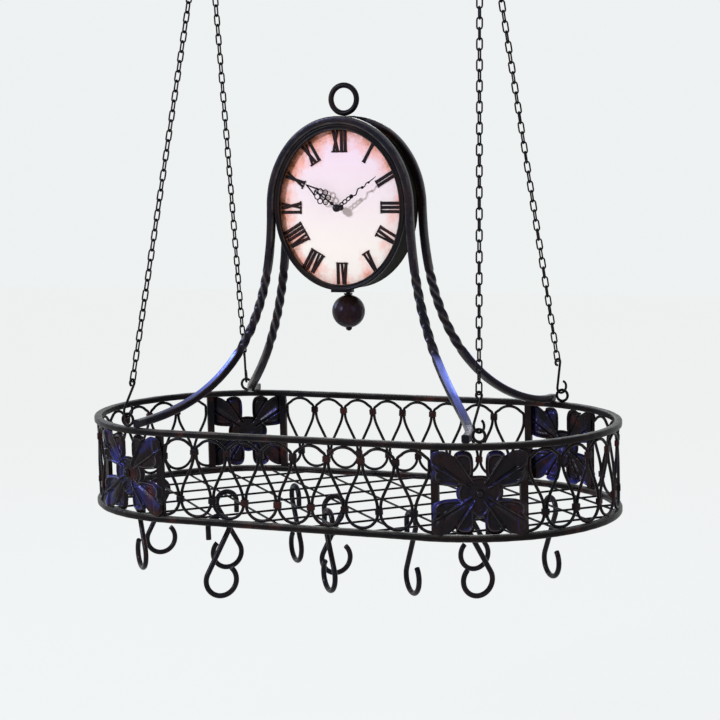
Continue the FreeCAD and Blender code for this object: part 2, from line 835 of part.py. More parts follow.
def hand(length, width, y, bore, angle):
    """Flat pointed hand with a round hub, pointing up and then turned clockwise."""
    waist = width * 0.35
    outline = [(-waist, 0), (-waist, length * 0.25), (-width / 2, length * 0.55), (0, length),
               (width / 2, length * 0.55), (waist, length * 0.25), (waist, 0)]
    points = [Vector(a, y, clock_z + b) for a, b in outline]
    blade = Part.Face(Part.makePolygon(points + [points[0]])).extrude(Vector(0, hand_thickness, 0))
    hub = Part.makeCylinder(hand_hub_radius, hand_thickness, Vector(0, y, clock_z), Vector(0, 1, 0))
    hole = Part.makeCylinder(bore, hand_thickness, Vector(0, y, clock_z), Vector(0, 1, 0))
    shape = blade.fuse(hub).cut(hole).removeSplitter()
    shape.rotate(Vector(0, 0, clock_z), Vector(0, 1, 0), angle)
    return shape


hour_hand_y = hand_front - hour_hand_stand_off - hand_thickness
minute_hand_y = hour_hand_y - hands_apart - hand_thickness
movement_front = dial_front + dial_thickness + touch_gap


def tube(outer, inner, front, back):
    body = Part.makeCylinder(outer, back - front, Vector(0, front, clock_z), Vector(0, 1, 0))
    if inner > 0:
        body = body.cut(Part.makeCylinder(inner, back - front, Vector(0, front, clock_z), Vector(0, 1, 0)))
    return body


def hour_hand():
    bore = minute_tube_radius + shaft_gap
    blade = hand(hour_hand_length, hour_hand_width, hour_hand_y, bore, hour_hand_angle)
    sleeve = tube(hour_tube_radius, bore, hour_hand_y, movement_front + sleeve_seat_depth)
    return blade.fuse(sleeve).removeSplitter()


def minute_hand():
    blade = hand(minute_hand_length, minute_hand_width, minute_hand_y, minute_hand_bore, minute_hand_angle)
    sleeve = tube(minute_tube_radius, 0, minute_hand_y, movement_front + sleeve_seat_depth + 1)
    return blade.fuse(sleeve).removeSplitter()


def battery_axis_z():
    return clock_z - movement_size / 2 + battery_radius + battery_edge_gap


def movement():
    """Closed box with seats for the two sleeves and the knob, and an open trough for the battery."""
    half = movement_size / 2
    back = movement_front + movement_depth
    box = Part.makeBox(movement_size, movement_depth, movement_size)
    box.translate(Vector(-half, movement_front, clock_z - half))
    box = box.makeFillet(movement_corner, [e for e in box.Edges if e.BoundBox.YLength > movement_depth - 1])
    seat_end = movement_front + sleeve_seat_depth + loose_gap
    hour_seat = tube(hour_tube_radius + shaft_gap, 0, movement_front - 1, seat_end)
    minute_seat = tube(minute_tube_radius + shaft_gap, 0, movement_front - 1, seat_end + 1)
    knob_seat = tube(clock_shaft_radius + shaft_gap, 0, back - knob_seat_depth - loose_gap, back + 1)
    run = battery_length + 2 * loose_gap
    wide = battery_radius + loose_gap
    start = Vector(-run / 2, back - battery_radius, battery_axis_z())
    cell = Part.makeCylinder(wide, run, start, Vector(1, 0, 0))
    trough = Part.makeBox(run, battery_radius + 2, 2 * wide, start - Vector(0, 0, wide))
    return box.cut(hour_seat.fuse(minute_seat)).cut(knob_seat).cut(cell.fuse(trough))


def battery():
    start = Vector(-battery_length / 2, movement_front + movement_depth - battery_radius, battery_axis_z())
    return Part.makeCylinder(battery_radius, battery_length, start, Vector(1, 0, 0))


def setting_knob():
    back = movement_front + movement_depth
    stem = tube(clock_shaft_radius, 0, back - knob_seat_depth, back + knob_stand_off)
    head = tube(knob_radius, 0, back + knob_stand_off, back + knob_stand_off + knob_depth)
    return stem.fuse(head).removeSplitter()


def hand_nut():
    """Domed nut on the end of the minute sleeve."""
    back = minute_hand_y - touch_gap
    front = back - hand_nut_thickness
    body = tube(hand_nut_radius, 0, front, back)
    dome = Part.makeSphere(hand_nut_radius, Vector(0, front, clock_z))
    behind = tube(2 * hand_nut_radius, 0, front, front + 2 * hand_nut_radius)
    return body.fuse(dome.cut(behind)).removeSplitter()


# ---------------------------------------------------------------- below the clock
def drop_plate():
    """Small bar under the front edge of the case, with a tongue back to the stem."""
    bottom = drop_plate_top - drop_plate_height
    bar = Part.makeBox(drop_plate_width, drop_plate_depth, drop_plate_height)
    bar.translate(Vector(-drop_plate_width / 2, case_front, bottom))
    tongue = Part.makeBox(drop_tongue_width, -case_front + drop_tongue_width / 2, drop_plate_height)
    tongue.translate(Vector(-drop_tongue_width / 2, case_front, bottom))
    return bar.fuse(tongue).removeSplitter()


def finial_stem():
    bottom = stem_top - stem_length
    neck = Part.makeCylinder(stem_radius, stem_length, Vector(0, 0, bottom))
    flange = Part.makeCylinder(2 * stem_radius, stem_flange_thickness, Vector(0, 0, bottom))
    return neck.fuse(flange).removeSplitter()


def finial_ball():
    ball = Part.makeSphere(ball_radius, Vector(0, 0, ball_z))
    button = Part.makeSphere(ball_button_radius, Vector(0, 0, ball_z - ball_radius))
    return ball.fuse(button)


# ---------------------------------------------------------------- eyes, chains and their hooks
def rim_eye(sx, sy):
    centre = Vector(sx * eye_x, sy * eye_y, rim_top + eye_radius + eye_wire / 2 - loose_gap)
    ring = ring_solid(centre, Vector(0, 1, 0), eye_radius, eye_wire)
    corner = Vector(sx * eye_x - 2 * eye_radius, sy * eye_y - 2 * eye_radius, rim_top - eye_wire)
    below = Part.makeBox(4 * eye_radius, 4 * eye_radius, eye_wire, corner)
    return ring.cut(below)


def link_solid():
    """One link about its upper end's centre, hanging along -Z in the XZ plane."""
    r = link_end_radius
    low = -link_straight
    edges = [
        Part.LineSegment(Vector(-r, 0, low), Vector(-r, 0, 0)).toShape(),
        Part.Arc(Vector(-r, 0, 0), Vector(0, 0, r), Vector(r, 0, 0)).toShape(),
        Part.LineSegment(Vector(r, 0, 0), Vector(r, 0, low)).toShape(),
        Part.Arc(Vector(r, 0, low), Vector(0, 0, low - r), Vector(-r, 0, low)).toShape(),
    ]
    return round_wire(edges, link_wire / 2)


def chain_line(sx, sy):
    """Seat on the gathering ring, direction down the chain, and the level direction across it."""
    seat = Vector(sx * hook_x, sy * seat_y, seat_z)
    eye = Vector(sx * eye_x, sy * eye_y, eye_contact_z)
    down = (eye - seat).normalize()
    across = Vector(1, 0, 0) - down * down.x
    return seat, down, across.normalize()


def placed(shape, origin, x_way, z_way):
    """A copy with its own X and Z axes laid along two directions."""
    y_way = z_way.cross(x_way)
    matrix = FreeCAD.Matrix(x_way.x, y_way.x, z_way.x, origin.x,
                            x_way.y, y_way.y, z_way.y, origin.y,
                            x_way.z, y_way.z, z_way.z, origin.z,
                            0, 0, 0, 1)
    return shape.transformed(matrix)


def chain(sx, sy):
    seat, down, across = chain_line(sx, sy)
    other = down.cross(across)
    link = link_solid()
    start = seat + down * first_link_drop
    links = []
    for i in range(chain_link_count):
        way = across if i % 2 == 0 else other
        links.append(placed(link, start + down * (i * link_step), way, down * -1))
    return links


def s_hook_edges(upper, lower, centres, start_angle, leg, tip_angle):
    """S bend in the XZ plane about its upper circle's centre; the low tip is on +X."""
    lean = math.asin((upper + lower) / centres)
    low = Vector(0, 0, -centres)

    def on_circle(centre, radius, degrees):
        turn = math.radians(degrees)
        return centre + Vector(radius * math.cos(turn), 0, radius * math.sin(turn))

    top = Vector(0, 0, 0)
    leave = -math.degrees(lean)
    arrive = 180 + leave
    end = 360 + tip_angle
    edges = []
    if leg > 0:
        edges.append(Part.LineSegment(Vector(-upper, 0, -leg), Vector(-upper, 0, 0)).toShape())
    edges.append(Part.Arc(on_circle(top, upper, start_angle),
                          on_circle(top, upper, (start_angle + leave) / 2),
                          on_circle(top, upper, leave)).toShape())
    edges.append(Part.LineSegment(on_circle(top, upper, leave), on_circle(low, lower, arrive)).toShape())
    edges.append(Part.Arc(on_circle(low, lower, arrive), on_circle(low, lower, (arrive + end) / 2),
                          on_circle(low, lower, end)).toShape())
    return edges


def chain_hook(sx, sy, turn, tip):
    """S-hook in line with the chain; turn is its plane's heading in degrees from +X."""
    seat, down, across = chain_line(sx, sy)
    edges = s_hook_edges(chain_hook_upper_radius, chain_hook_lower_radius, chain_hook_centres,
                         chain_hook_upper_start, 0, chain_hook_tip_angle)
    shape = round_wire(edges, chain_hook_wire / 2)
    heading = Vector(math.cos(math.radians(turn)), math.sin(math.radians(turn)), 0) * tip
    heading = (heading - down * heading.dot(down)).normalize()
    centre = seat + down * (chain_run - eye_below_hook - chain_hook_centres)
    return placed(shape, centre, heading, down * -1)


def top_ring(sx):
    return ring_solid(Vector(sx * hook_x, 0, top_ring_z), Vector(1, 0, 0), top_ring_radius, top_ring_wire)


def ceiling_hook(sx):
    """Screw, collar and open hook in one piece."""
    r = ceiling_hook_radius
    n = ceiling_hook_neck_radius
    start = Vector(0, 0, -ceiling_collar_height)
    shank_end = start - Vector(0, 0, ceiling_hook_shank)
    bowl = Vector(0, 0, bowl_centre_z)
    neck = shank_end + Vector(n, 0, 0)
    joint = neck + (bowl - neck) * (n / (n + r))
    bend = math.atan2(joint.z - neck.z, joint.x - neck.x) % (2 * math.pi)
    half = (math.pi + bend) / 2
    middle = neck + Vector(n * math.cos(half), 0, n * math.sin(half))
    leave = math.atan2(joint.z - bowl.z, joint.x - bowl.x)
    tip = math.radians(ceiling_hook_tip_angle) - 2 * math.pi
    low = (leave + tip) / 2
    edges = [
        Part.LineSegment(start, shank_end).toShape(),
        Part.Arc(shank_end, middle, joint).toShape(),
        Part.Arc(joint, bowl + Vector(r * math.cos(low), 0, r * math.sin(low)),
                 bowl + Vector(r * math.cos(tip), 0, r * math.sin(tip))).toShape(),
    ]
    hook = round_wire(edges, ceiling_hook_wire / 2)
    collar_disc = Part.makeCylinder(ceiling_collar_radius, ceiling_collar_height, start)
    screw = Part.makeCylinder(ceiling_screw_radius, ceiling_screw_length, Vector(0, 0, 0))
    shape = hook.multiFuse([collar_disc, screw]).removeSplitter()
    shape.translate(Vector(sx * hook_x, 0, 0))
    return shape


# ---------------------------------------------------------------- pot hooks
pot_hook_centres = (pot_hook_height - pot_hook_wire - pot_hook_upper_radius - pot_hook_lower_radius)
pot_hook_seat = pot_hook_upper_radius - pot_hook_wire / 2 - floor_rod_diameter / 2 - loose_gap

# name, rod family, rod number, distance in from the rod's end, which end (-1 left), side of the low tip
pot_hooks = [
    ("pot_hook_01", 1, -3, 51.1, -1, -1),
    ("pot_hook_02", -1, -3, 38.7, -1, 1),
    ("pot_hook_03", -1, -2, 193.8, -1, -1),
    ("pot_hook_04", -1, -3, 26.2, 1, 1),
    ("pot_hook_05", 1, -2, 214.7, 1, -1),
    ("pot_hook_06", -1, 0, 264.7, 1, 1),
    ("pot_hook_07", 1, 1, 114.2, -1, -1),
    ("pot_hook_08", 1, 2, 146.7, -1, 1),
    ("pot_hook_09", -1, 3, 154.2, -1, -1),
    ("pot_hook_10", -1, 2, 124.9, 1, -1),
    ("pot_hook_11", 1, 2, 81.8, 1, 1),
]


def pot_hook_solid():
    edges = s_hook_edges(pot_hook_upper_radius, pot_hook_lower_radius, pot_hook_centres, 180,
                         pot_hook_upper_leg, pot_hook_tip_angle)
    shape = round_wire(edges, pot_hook_wire / 2)
    shape.translate(Vector(0, 0, -pot_hook_seat))
    weight = shape.Solids[0].CenterOfMass
    balance = math.degrees(math.atan2(weight.x, -weight.z))
    shape.rotate(Vector(0, 0, 0), Vector(0, 1, 0), balance)
    return shape


def hang_pot_hook(shape, family, number, from_end, end, tip):
    """Hang a hook square to its rod, in balance, with its low tip to the right (1) or left (-1)."""
    rod = rod_point(family, number, rod_end(family, number, end) - end * from_end)
    root = math.sqrt(0.5)
    heading = Vector(root, -family * root, 0) * tip
    return placed(shape, rod, heading, Vector(0, 0, 1))


# ---------------------------------------------------------------- build
def build():
    os.makedirs("parts", exist_ok=True)
    corners = [("front_right", 1, -1), ("front_left", -1, -1), ("back_right", 1, 1), ("back_left", -1, 1)]
    half_bar = upright_bar_width / 2 + touch_gap
    front_span = front_bar_at - half_bar
    end_span = quarter_length - end_bar_at - half_bar

    save("upper_rim", [rim_hoop(rim_top - rim_bar_height)])
    save("lower_rim", [rim_hoop(rim_bottom)])
    walls = [("front", 0, front_span, front_loop_count),
             ("right", quarter_length, end_span, end_loop_count),
             ("back", 2 * quarter_length, front_span, front_loop_count),
             ("left", 3 * quarter_length, end_span, end_loop_count)]
    for name, middle, span, loops in walls:
        save("scroll_wire_" + name, [scroll_wire(middle - span, middle + span, loops)])
        save("scroll_collars_" + name, wall_collars(middle - span, middle + span, loops))
    bars = [upright_bar(front_bar_at), upright_bar(end_bar_at)]
    save("upright_bars", [mirrored(bar, sx < 0, sy > 0) for n, sx, sy in corners for bar in bars])
    panel = leaf_panel()
    rivet = panel_rivet()
    for name, sx, sy in corners:
        save("leaf_panel_" + name, [mirrored(panel, sx < 0, sy > 0)])
    save("panel_rivets", [mirrored(rivet, sx < 0, sy > 0) for n, sx, sy in corners])
    save("floor_rods_upper", floor_rods(1))
    save("floor_rods_lower", floor_rods(-1))

    arch = front_arch_solid()
    save("front_arch", [arch])
    save("back_arch", [mirrored(arch, False, True)])
    save("cross_plate", [cross_plate()])
    save("carry_ring", [carry_ring()])

    save("clock_case", [clock_case()])
    save("clock_bezel", [bezel()])
    save("clock_back_cover", [back_cover()])
    save("clock_dial", [dial()])
    save("dial_numerals", dial_numerals())
    save("clock_movement", [movement()])
    save("battery", [battery()])
    save("setting_knob", [setting_knob()])
    save("hour_hand", [hour_hand()])
    save("minute_hand", [minute_hand()])
    save("hand_nut", [hand_nut()])
    save("drop_plate", [drop_plate()])
    save("finial_stem", [finial_stem()])
    save("finial_ball", [finial_ball()])

    save("rim_eyes", [rim_eye(sx, sy) for n, sx, sy in corners])
    headings = {"front_right": (60, 1), "front_left": (80, 1), "back_right": (60, 1), "back_left": (113, 1)}
    for name, sx, sy in corners:
        save("chain_" + name, chain(sx, sy))
        turn, tip = headings[name]
        save("chain_hook_" + name, [chain_hook(sx, sy, turn, tip)])
    for name, sx in (("left", -1), ("right", 1)):
        save("top_ring_" + name, [top_ring(sx)])
        save("ceiling_hook_" + name, [ceiling_hook(sx)])
    hook = pot_hook_solid()
    for name, *place in pot_hooks:
        save(name, [hang_pot_hook(hook, *place)])


build()
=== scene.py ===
# %% [markdown]
# # A hanging pot rack with a clock
#
# The rack is an oval basket of black wrought iron. Two hoops are joined by bent scroll wire and four
# leaf-shaped panels, two arches carry a drum clock, and four chains hang it all from the ceiling.
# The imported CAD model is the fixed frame: every piece made here sits where a CAD solid sits.

# %% Load the frame
import math
import bpy
import bmesh
from mathutils import Matrix, Vector


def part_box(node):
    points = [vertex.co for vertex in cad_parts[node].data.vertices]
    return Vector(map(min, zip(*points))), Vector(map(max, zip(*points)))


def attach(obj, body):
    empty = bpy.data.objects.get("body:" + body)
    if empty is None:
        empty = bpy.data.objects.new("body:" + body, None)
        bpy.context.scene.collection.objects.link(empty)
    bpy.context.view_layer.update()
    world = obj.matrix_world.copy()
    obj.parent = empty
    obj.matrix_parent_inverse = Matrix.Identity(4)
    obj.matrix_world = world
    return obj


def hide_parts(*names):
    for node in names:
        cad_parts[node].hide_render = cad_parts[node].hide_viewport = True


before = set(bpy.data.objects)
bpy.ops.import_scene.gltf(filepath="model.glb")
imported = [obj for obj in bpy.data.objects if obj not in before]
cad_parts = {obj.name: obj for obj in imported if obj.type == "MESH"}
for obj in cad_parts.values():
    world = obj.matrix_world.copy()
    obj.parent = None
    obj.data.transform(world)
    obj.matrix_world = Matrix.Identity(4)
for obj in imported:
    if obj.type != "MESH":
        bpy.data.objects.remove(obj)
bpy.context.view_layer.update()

print("CAD nodes:", len(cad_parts))

# %% [markdown]
# ## Sizes
#
# A blacksmith would set out the outline first: two straight runs joined by half circles. Every wall
# piece is placed by how far it lies along that line, so the line's length and height come first.

# %% Outline of the basket
rim_low, rim_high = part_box("upper_rim")
RIM_TOP = rim_high[2]
RIM_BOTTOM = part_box("lower_rim")[0][2]
RIM_TALL = rim_high[2] - rim_low[2]
END_RADIUS = (rim_high[1] - rim_low[1]) / 2
STRAIGHT = (rim_high[0] - rim_low[0]) / 2 - END_RADIUS
RIM_WIDE = 0.011
WALL_RADIUS = END_RADIUS - RIM_WIDE / 2
QUARTER = STRAIGHT + WALL_RADIUS * math.pi / 2
PANEL_PAST_STRAIGHT = 0.073
PANEL_MID = STRAIGHT + PANEL_PAST_STRAIGHT


def wall_place(along, outwards=0.0):
    """Point, direction and outward normal, along from the middle of the front."""
    sign = 1 if along >= 0 else -1
    run = abs(along)
    turn = min(max(run - STRAIGHT, 0) / WALL_RADIUS, math.pi)
    past = max(run - STRAIGHT - math.pi * WALL_RADIUS, 0)
    reach = WALL_RADIUS + outwards
    across = min(run, STRAIGHT) - past + reach * math.sin(turn)
    point = Vector((sign * across, -reach * math.cos(turn), 0))
    direction = Vector((math.cos(turn), sign * math.sin(turn), 0))
    return point, direction, Vector((sign * math.sin(turn), -math.cos(turn), 0))


print("outline %.0f x %.0f mm, rim top at %.1f mm" % (
    2000 * (STRAIGHT + END_RADIUS), 2000 * END_RADIUS, 1000 * RIM_TOP))

# %% [markdown]
# ## Camera, backdrop and light
#
# The photograph was taken from the front right and a little above the rim, with a long lens. The
# backdrop and the floor are pale and even. They look white to the camera and in reflections, while
# the light that falls on the iron stays plain and soft.

# %% Camera
YAW, PITCH, ROLL = math.radians(23.02), math.radians(7.057), math.radians(-1.278)
FOCAL_PIXELS, PHOTO_PIXELS, SENSOR_WIDE = 1835, 720, 36
CAMERA_PLACE = (1.009, -2.338, RIM_TOP + 0.3912)
level = Vector((math.cos(YAW), math.sin(YAW), 0))
ahead = Vector((-math.sin(YAW) * math.cos(PITCH), math.cos(YAW) * math.cos(PITCH), -math.sin(PITCH)))
upright = level.cross(ahead)
right_way = level * math.cos(ROLL) + upright * math.sin(ROLL)
up_way = upright * math.cos(ROLL) - level * math.sin(ROLL)
camera_data = bpy.data.cameras.new("photo_camera")
camera_data.sensor_width = SENSOR_WIDE
camera_data.lens = FOCAL_PIXELS / PHOTO_PIXELS * SENSOR_WIDE
camera_data.clip_end = 50
camera = bpy.data.objects.new("photo_camera", camera_data)
camera.matrix_world = Matrix([*zip(right_way, up_way, -ahead, CAMERA_PLACE), (0, 0, 0, 1)])
bpy.context.scene.collection.objects.link(camera)
bpy.context.scene.camera = camera
bpy.context.scene.view_settings.view_transform = "Standard"
print("camera lens %.2f mm" % camera_data.lens)


# %% [markdown]
# ### Short helpers for graphs
#
# A finish or a tree is a chain of small nodes, and each takes a few lines to make and link. Helpers
# that add one node, do one step of arithmetic, fade a value or blend two colours keep the graphs short
# enough to read.


# %% Helpers for node graphs
def add(graph, kind, links=None, **settings):
    """Adds a node; links maps its inputs to other sockets or to plain values."""
    made = graph.nodes.new(kind)
    for name, value in settings.items():
        setattr(made, name, value)
    for place, source in (links or {}).items():
        if isinstance(source, bpy.types.NodeSocket):
            graph.links.new(source, made.inputs[place])
        else:
            made.inputs[place].default_value = source
    return made


def sum_of(graph, operation, *values):
    """One step of arithmetic in a graph."""
    return add(graph, "ShaderNodeMath", dict(enumerate(values)), operation=operation).outputs[0]


def fade(graph, value, low, high, begin=0.0, end=1.0):
    """Goes from begin to end while the value goes from low to high, and stays level outside."""
    return add(graph, "ShaderNodeMapRange", {0: value, 1: low, 2: high, 3: begin, 4: end}).outputs[0]


def blend(graph, share, first, second):
    """The first colour, going over to the second as the share grows from 0 to 1."""
    return add(graph, "ShaderNodeMix", {0: share, 6: first, 7: second}, data_type="RGBA").outputs[2]


def noise(graph, place, scale, detail, roughness):
    """A cloudy pattern, as one number at each place."""
    inputs = {"Vector": place, "Scale": scale, "Detail": detail, "Roughness": roughness}
    return add(graph, "ShaderNodeTexNoise", inputs).outputs["Fac"]


def axis_of(graph, vector, axis):
    """One of the three parts of a vector: 0, 1 or 2."""
    return add(graph, "ShaderNodeSeparateXYZ", {0: vector}).outputs[axis]


def seen_share(graph):
    """1 for rays from the camera, in gloss and through glass, and 0 for those that only carry light."""
    rays = add(graph, "ShaderNodeLightPath")
    seen = sum_of(graph, "MAXIMUM", rays.outputs["Is Camera Ray"], rays.outputs["Is Glossy Ray"])
    return sum_of(graph, "MAXIMUM", seen, rays.outputs["Is Transmission Ray"])


print("graph helpers:", ", ".join(f.__name__ for f in (add, sum_of, fade, blend, noise, axis_of, seen_share)))


# %% Floor and backdrop
def new_object(name, mesh, *materials):
    """Puts a mesh in the scene as an object at the origin, with its finishes."""
    for material in materials:
        mesh.materials.append(material)
    made = bpy.data.objects.new(name, mesh)
    bpy.context.scene.collection.objects.link(made)
    return made


def pale_surface(name, colour, own_glow):
    """Pale to the camera and in gloss, with part of its tone left to the light for shadows."""
    material = bpy.data.materials.new(name)
    material.use_nodes = True
    graph = material.node_tree
    graph.nodes.clear()
    glow = add(graph, "ShaderNodeEmission", {"Color": colour, "Strength": 1.0})
    matt = add(graph, "ShaderNodeBsdfDiffuse", {"Color": colour})
    share = sum_of(graph, "MULTIPLY", seen_share(graph), own_glow)
    mix = add(graph, "ShaderNodeMixShader", {0: share, 1: matt.outputs[0], 2: glow.outputs[0]})
    add(graph, "ShaderNodeOutputMaterial", {"Surface": mix.outputs[0]})
    return material


def stage_sheet(name, corners, colour):
    mesh = bpy.data.meshes.new(name)
    mesh.from_pydata(corners, [], [(0, 1, 2, 3)])
    new_object(name, mesh, pale_surface(name, colour, 0.93))


FLOOR_Z = RIM_BOTTOM - 0.45
stage_sheet("floor", [(-8, -8, FLOOR_Z), (8, -8, FLOOR_Z), (8, 8, FLOOR_Z), (-8, 8, FLOOR_Z)],
            (0.897, 0.922, 0.922, 1))
world = bpy.data.worlds.new("studio")
bpy.context.scene.world = world
world.use_nodes = True
sky = world.node_tree
sky.nodes.clear()
backdrop = add(sky, "ShaderNodeBackground", {"Color": (0.86, 0.885, 0.885, 1), "Strength": 1.0})
fill = add(sky, "ShaderNodeBackground", {"Color": (1.0, 0.80, 0.63, 1), "Strength": 0.34})
both = add(sky, "ShaderNodeMixShader", {0: seen_share(sky), 1: fill.outputs[0], 2: backdrop.outputs[0]})
add(sky, "ShaderNodeOutputWorld", {"Surface": both.outputs[0]})
print("floor %.0f mm below the basket" % (1000 * (RIM_BOTTOM - FLOOR_Z)))

# %% [markdown]
# ### Lamps
#
# Dark, oiled iron is drawn by what shines on it. A small bright disc to the front left gives the
# sharp glints along the bars, and four weaker ones fill in from the side, above, behind and the left.
# Sun lamps would be simpler, but their light is hard and the same everywhere, so discs are used.

# %% Lamps
MIDDLE = Vector((0, 0, RIM_TOP + 0.15))


def lamp(name, place, size, power, colour):
    """A disc of light that looks at the rack's middle."""
    data = bpy.data.lights.new(name, "AREA")
    data.shape = "DISK"
    data.size = size
    data.energy = power
    data.color = colour
    made = bpy.data.objects.new(name, data)
    made.location = place
    made.rotation_euler = (MIDDLE - Vector(place)).to_track_quat("-Z", "Y").to_euler()
    bpy.context.scene.collection.objects.link(made)


lamp("key_lamp", (-1.45, -2.05, RIM_TOP + 1.2), 0.3, 53, (0.95, 0.96, 1.0))
lamp("side_lamp", (2.4, -1.2, RIM_TOP + 0.9), 1.2, 9, (1.0, 0.96, 0.92))
lamp("sky_lamp", (1.0, 0.9, RIM_TOP + 2.1), 1.2, 18, (0.50, 0.58, 1.0))
lamp("back_lamp", (-0.9, 2.5, RIM_TOP + 1.25), 0.9, 7, (0.92, 0.96, 0.95))
lamp("left_lamp", (-2.4, 0.5, RIM_TOP + 1.1), 0.8, 14, (0.50, 0.58, 1.0))


# %% [markdown]
# ## Wrought-iron finishes
#
# The iron is nearly black: forged bar, rubbed with oil, with brown and rust-red showing through in
# patches, dents from the hammer and paler metal where edges are worn. That paler metal is also a painted
# highlight along edges, ribs and lips. A photograph of iron could be wrapped round each piece, but bars
# this thin would show its seams. So the finish is a rule in space: a noise picks the patches, another
# breaks up the gloss, and a cell pattern gives the shallow dents.
#
# A blue reflection is painted into the colour, with the iron made more metallic there: on the arches'
# upper faces below the twist, and on the leaves in clouds on faces that look up and to the left.


# %% Painted blue sheen
BLUE_ENDS, BLUE_FADES, BLUE_FULL, BLUE_STARTS = 0.010, 0.060, 0.085, 0.097


def painted_blue_sheen(graph, coat, facing, place, blue_sheen, blue):
    """Gives the coat with a painted blue reflection in it, and its share; the choice is "legs", or a strength for
    clouds.
    """
    pools = noise(graph, place, 24.0, 3.0, 0.55)
    if blue_sheen == "legs":
        upward = fade(graph, axis_of(graph, facing, 2), 0.30, 0.55)
        height = axis_of(graph, place, 2)
        below_twist = fade(graph, height, RIM_TOP + BLUE_STARTS, RIM_TOP + BLUE_FULL)
        above_foot = fade(graph, height, RIM_TOP + BLUE_ENDS, RIM_TOP + BLUE_FADES)
        streaks = fade(graph, pools, 0.30, 0.52, begin=0.55)
        share = sum_of(graph, "MULTIPLY", upward, below_twist)
        share = sum_of(graph, "MULTIPLY", share, sum_of(graph, "MULTIPLY", above_foot, streaks))
    else:
        up_left = add(graph, "ShaderNodeVectorMath", {0: facing, 1: (-0.62, -0.16, 0.77)},
                      operation="DOT_PRODUCT").outputs["Value"]
        share = sum_of(graph, "MULTIPLY", fade(graph, up_left, 0.10, 0.75),
                       fade(graph, pools, 0.46, 0.62, end=blue_sheen))
    return blend(graph, share, coat, (*blue, 1)), share


# The painted blue reflection on the legs lies between these heights.
print("legs blued %.0f to %.0f mm above the rim" % (1000 * BLUE_ENDS, 1000 * BLUE_STARTS))


# %% A finish for forged iron
# Pale grey for upper faces: dust, and a painted sheen of light from above.
DUST_AND_SHEEN = (0.085, 0.09, 0.08, 1)


def new_finish(name):
    """A material with its graph, its shader and the piece's own coordinates."""
    material = bpy.data.materials.new(name)
    material.use_nodes = True
    graph = material.node_tree
    return material, graph, graph.nodes["Principled BSDF"], add(graph, "ShaderNodeTexCoord").outputs["Object"]


def forged_iron(name, dark=(0.0050, 0.0042, 0.0048), brown=(0.017, 0.0095, 0.0075),
                rust=(0.080, 0.017, 0.010), rust_share=0.30, worn_highlight=(0.13, 0.125, 0.12), worn_highlight_share=0.35,
                gloss=0.33, shine=0.28, dent_size=0.007, dents=0.35, sheen_colour=(0.62, 0.70, 1.0),
                top_dust_and_sheen=0.0, blue_sheen=0.0, blue=(0.035, 0.04, 0.22), lucky=False):
    """Dark iron; lucky pieces rust by a random number of their own, and upper faces get dust and a painted pale
    sheen.
    """
    material, graph, shader, place = new_finish(name)
    clouds = noise(graph, place, 28.0, 5.0, 0.62)
    patches = noise(graph, place, 17.0, 7.0, 0.7)
    grain = noise(graph, place, 620.0, 4.0, 0.6)
    cells = add(graph, "ShaderNodeTexVoronoi", {"Vector": place, "Scale": 1.0 / dent_size, "Smoothness": 0.7},
                feature="SMOOTH_F1")
    coat = blend(graph, fade(graph, clouds, 0.42, 0.68), (*dark, 1), (*brown, 1))
    start = 0.70 - 0.35 * rust_share
    freckled = sum_of(graph, "MULTIPLY", fade(graph, patches, start, start + 0.12),
                      fade(graph, grain, 0.30, 0.62))
    if lucky:
        luck = add(graph, "ShaderNodeAttribute", attribute_name="luck").outputs["Fac"]
        freckled = sum_of(graph, "MULTIPLY", freckled, fade(graph, luck, 0.70, 1.05))
    coat = blend(graph, freckled, coat, (*rust, 1))
    facing = add(graph, "ShaderNodeNewGeometry").outputs["Normal"]
    # Dust and a painted pale sheen on faces that look up.
    if top_dust_and_sheen:
        dust_and_sheen_share = sum_of(graph, "MULTIPLY", fade(graph, axis_of(graph, facing, 2), 0.55, 0.95),
                       fade(graph, clouds, 0.36, 0.60, end=top_dust_and_sheen))
        coat = blend(graph, dust_and_sheen_share, coat, DUST_AND_SHEEN)
    # Painted blue reflection: faces that look up turn blue and more metallic.
    if blue_sheen:
        coat, painted_blue = painted_blue_sheen(graph, coat, facing, place, blue_sheen, blue)
        graph.links.new(painted_blue, shader.inputs["Metallic"])
    # Paler metal on worn edges, ribs and lips, also standing for painted highlights there.
    edge = add(graph, "ShaderNodeAttribute", attribute_name="edge").outputs["Fac"]
    rubbed_and_highlit = sum_of(graph, "MULTIPLY", fade(graph, edge, 0.45, 0.95), fade(graph, patches, 0.40, 0.62))
    wear_and_highlight = sum_of(graph, "MULTIPLY", rubbed_and_highlit, worn_highlight_share)
    graph.links.new(blend(graph, wear_and_highlight, coat, (*worn_highlight, 1)), shader.inputs["Base Color"])
    graph.links.new(fade(graph, grain, 0.25, 0.75, gloss - 0.10, gloss + 0.14), shader.inputs["Roughness"])
    dent = add(graph, "ShaderNodeBump",
               {"Strength": dents, "Distance": 0.0008, "Height": cells.outputs["Distance"]})
    fine = add(graph, "ShaderNodeBump",
               {"Strength": 0.25, "Distance": 0.0002, "Height": grain, "Normal": dent.outputs[0]})
    graph.links.new(fine.outputs[0], shader.inputs["Normal"])
    shader.inputs["Specular IOR Level"].default_value = 0.45 * shine
    shader.inputs["IOR"].default_value = 1.4
    shader.inputs["Specular Tint"].default_value = (*sheen_colour, 1)
    return material


iron = forged_iron("forged_iron")
print("plain forged iron: %d nodes" % len(iron.node_tree.nodes))
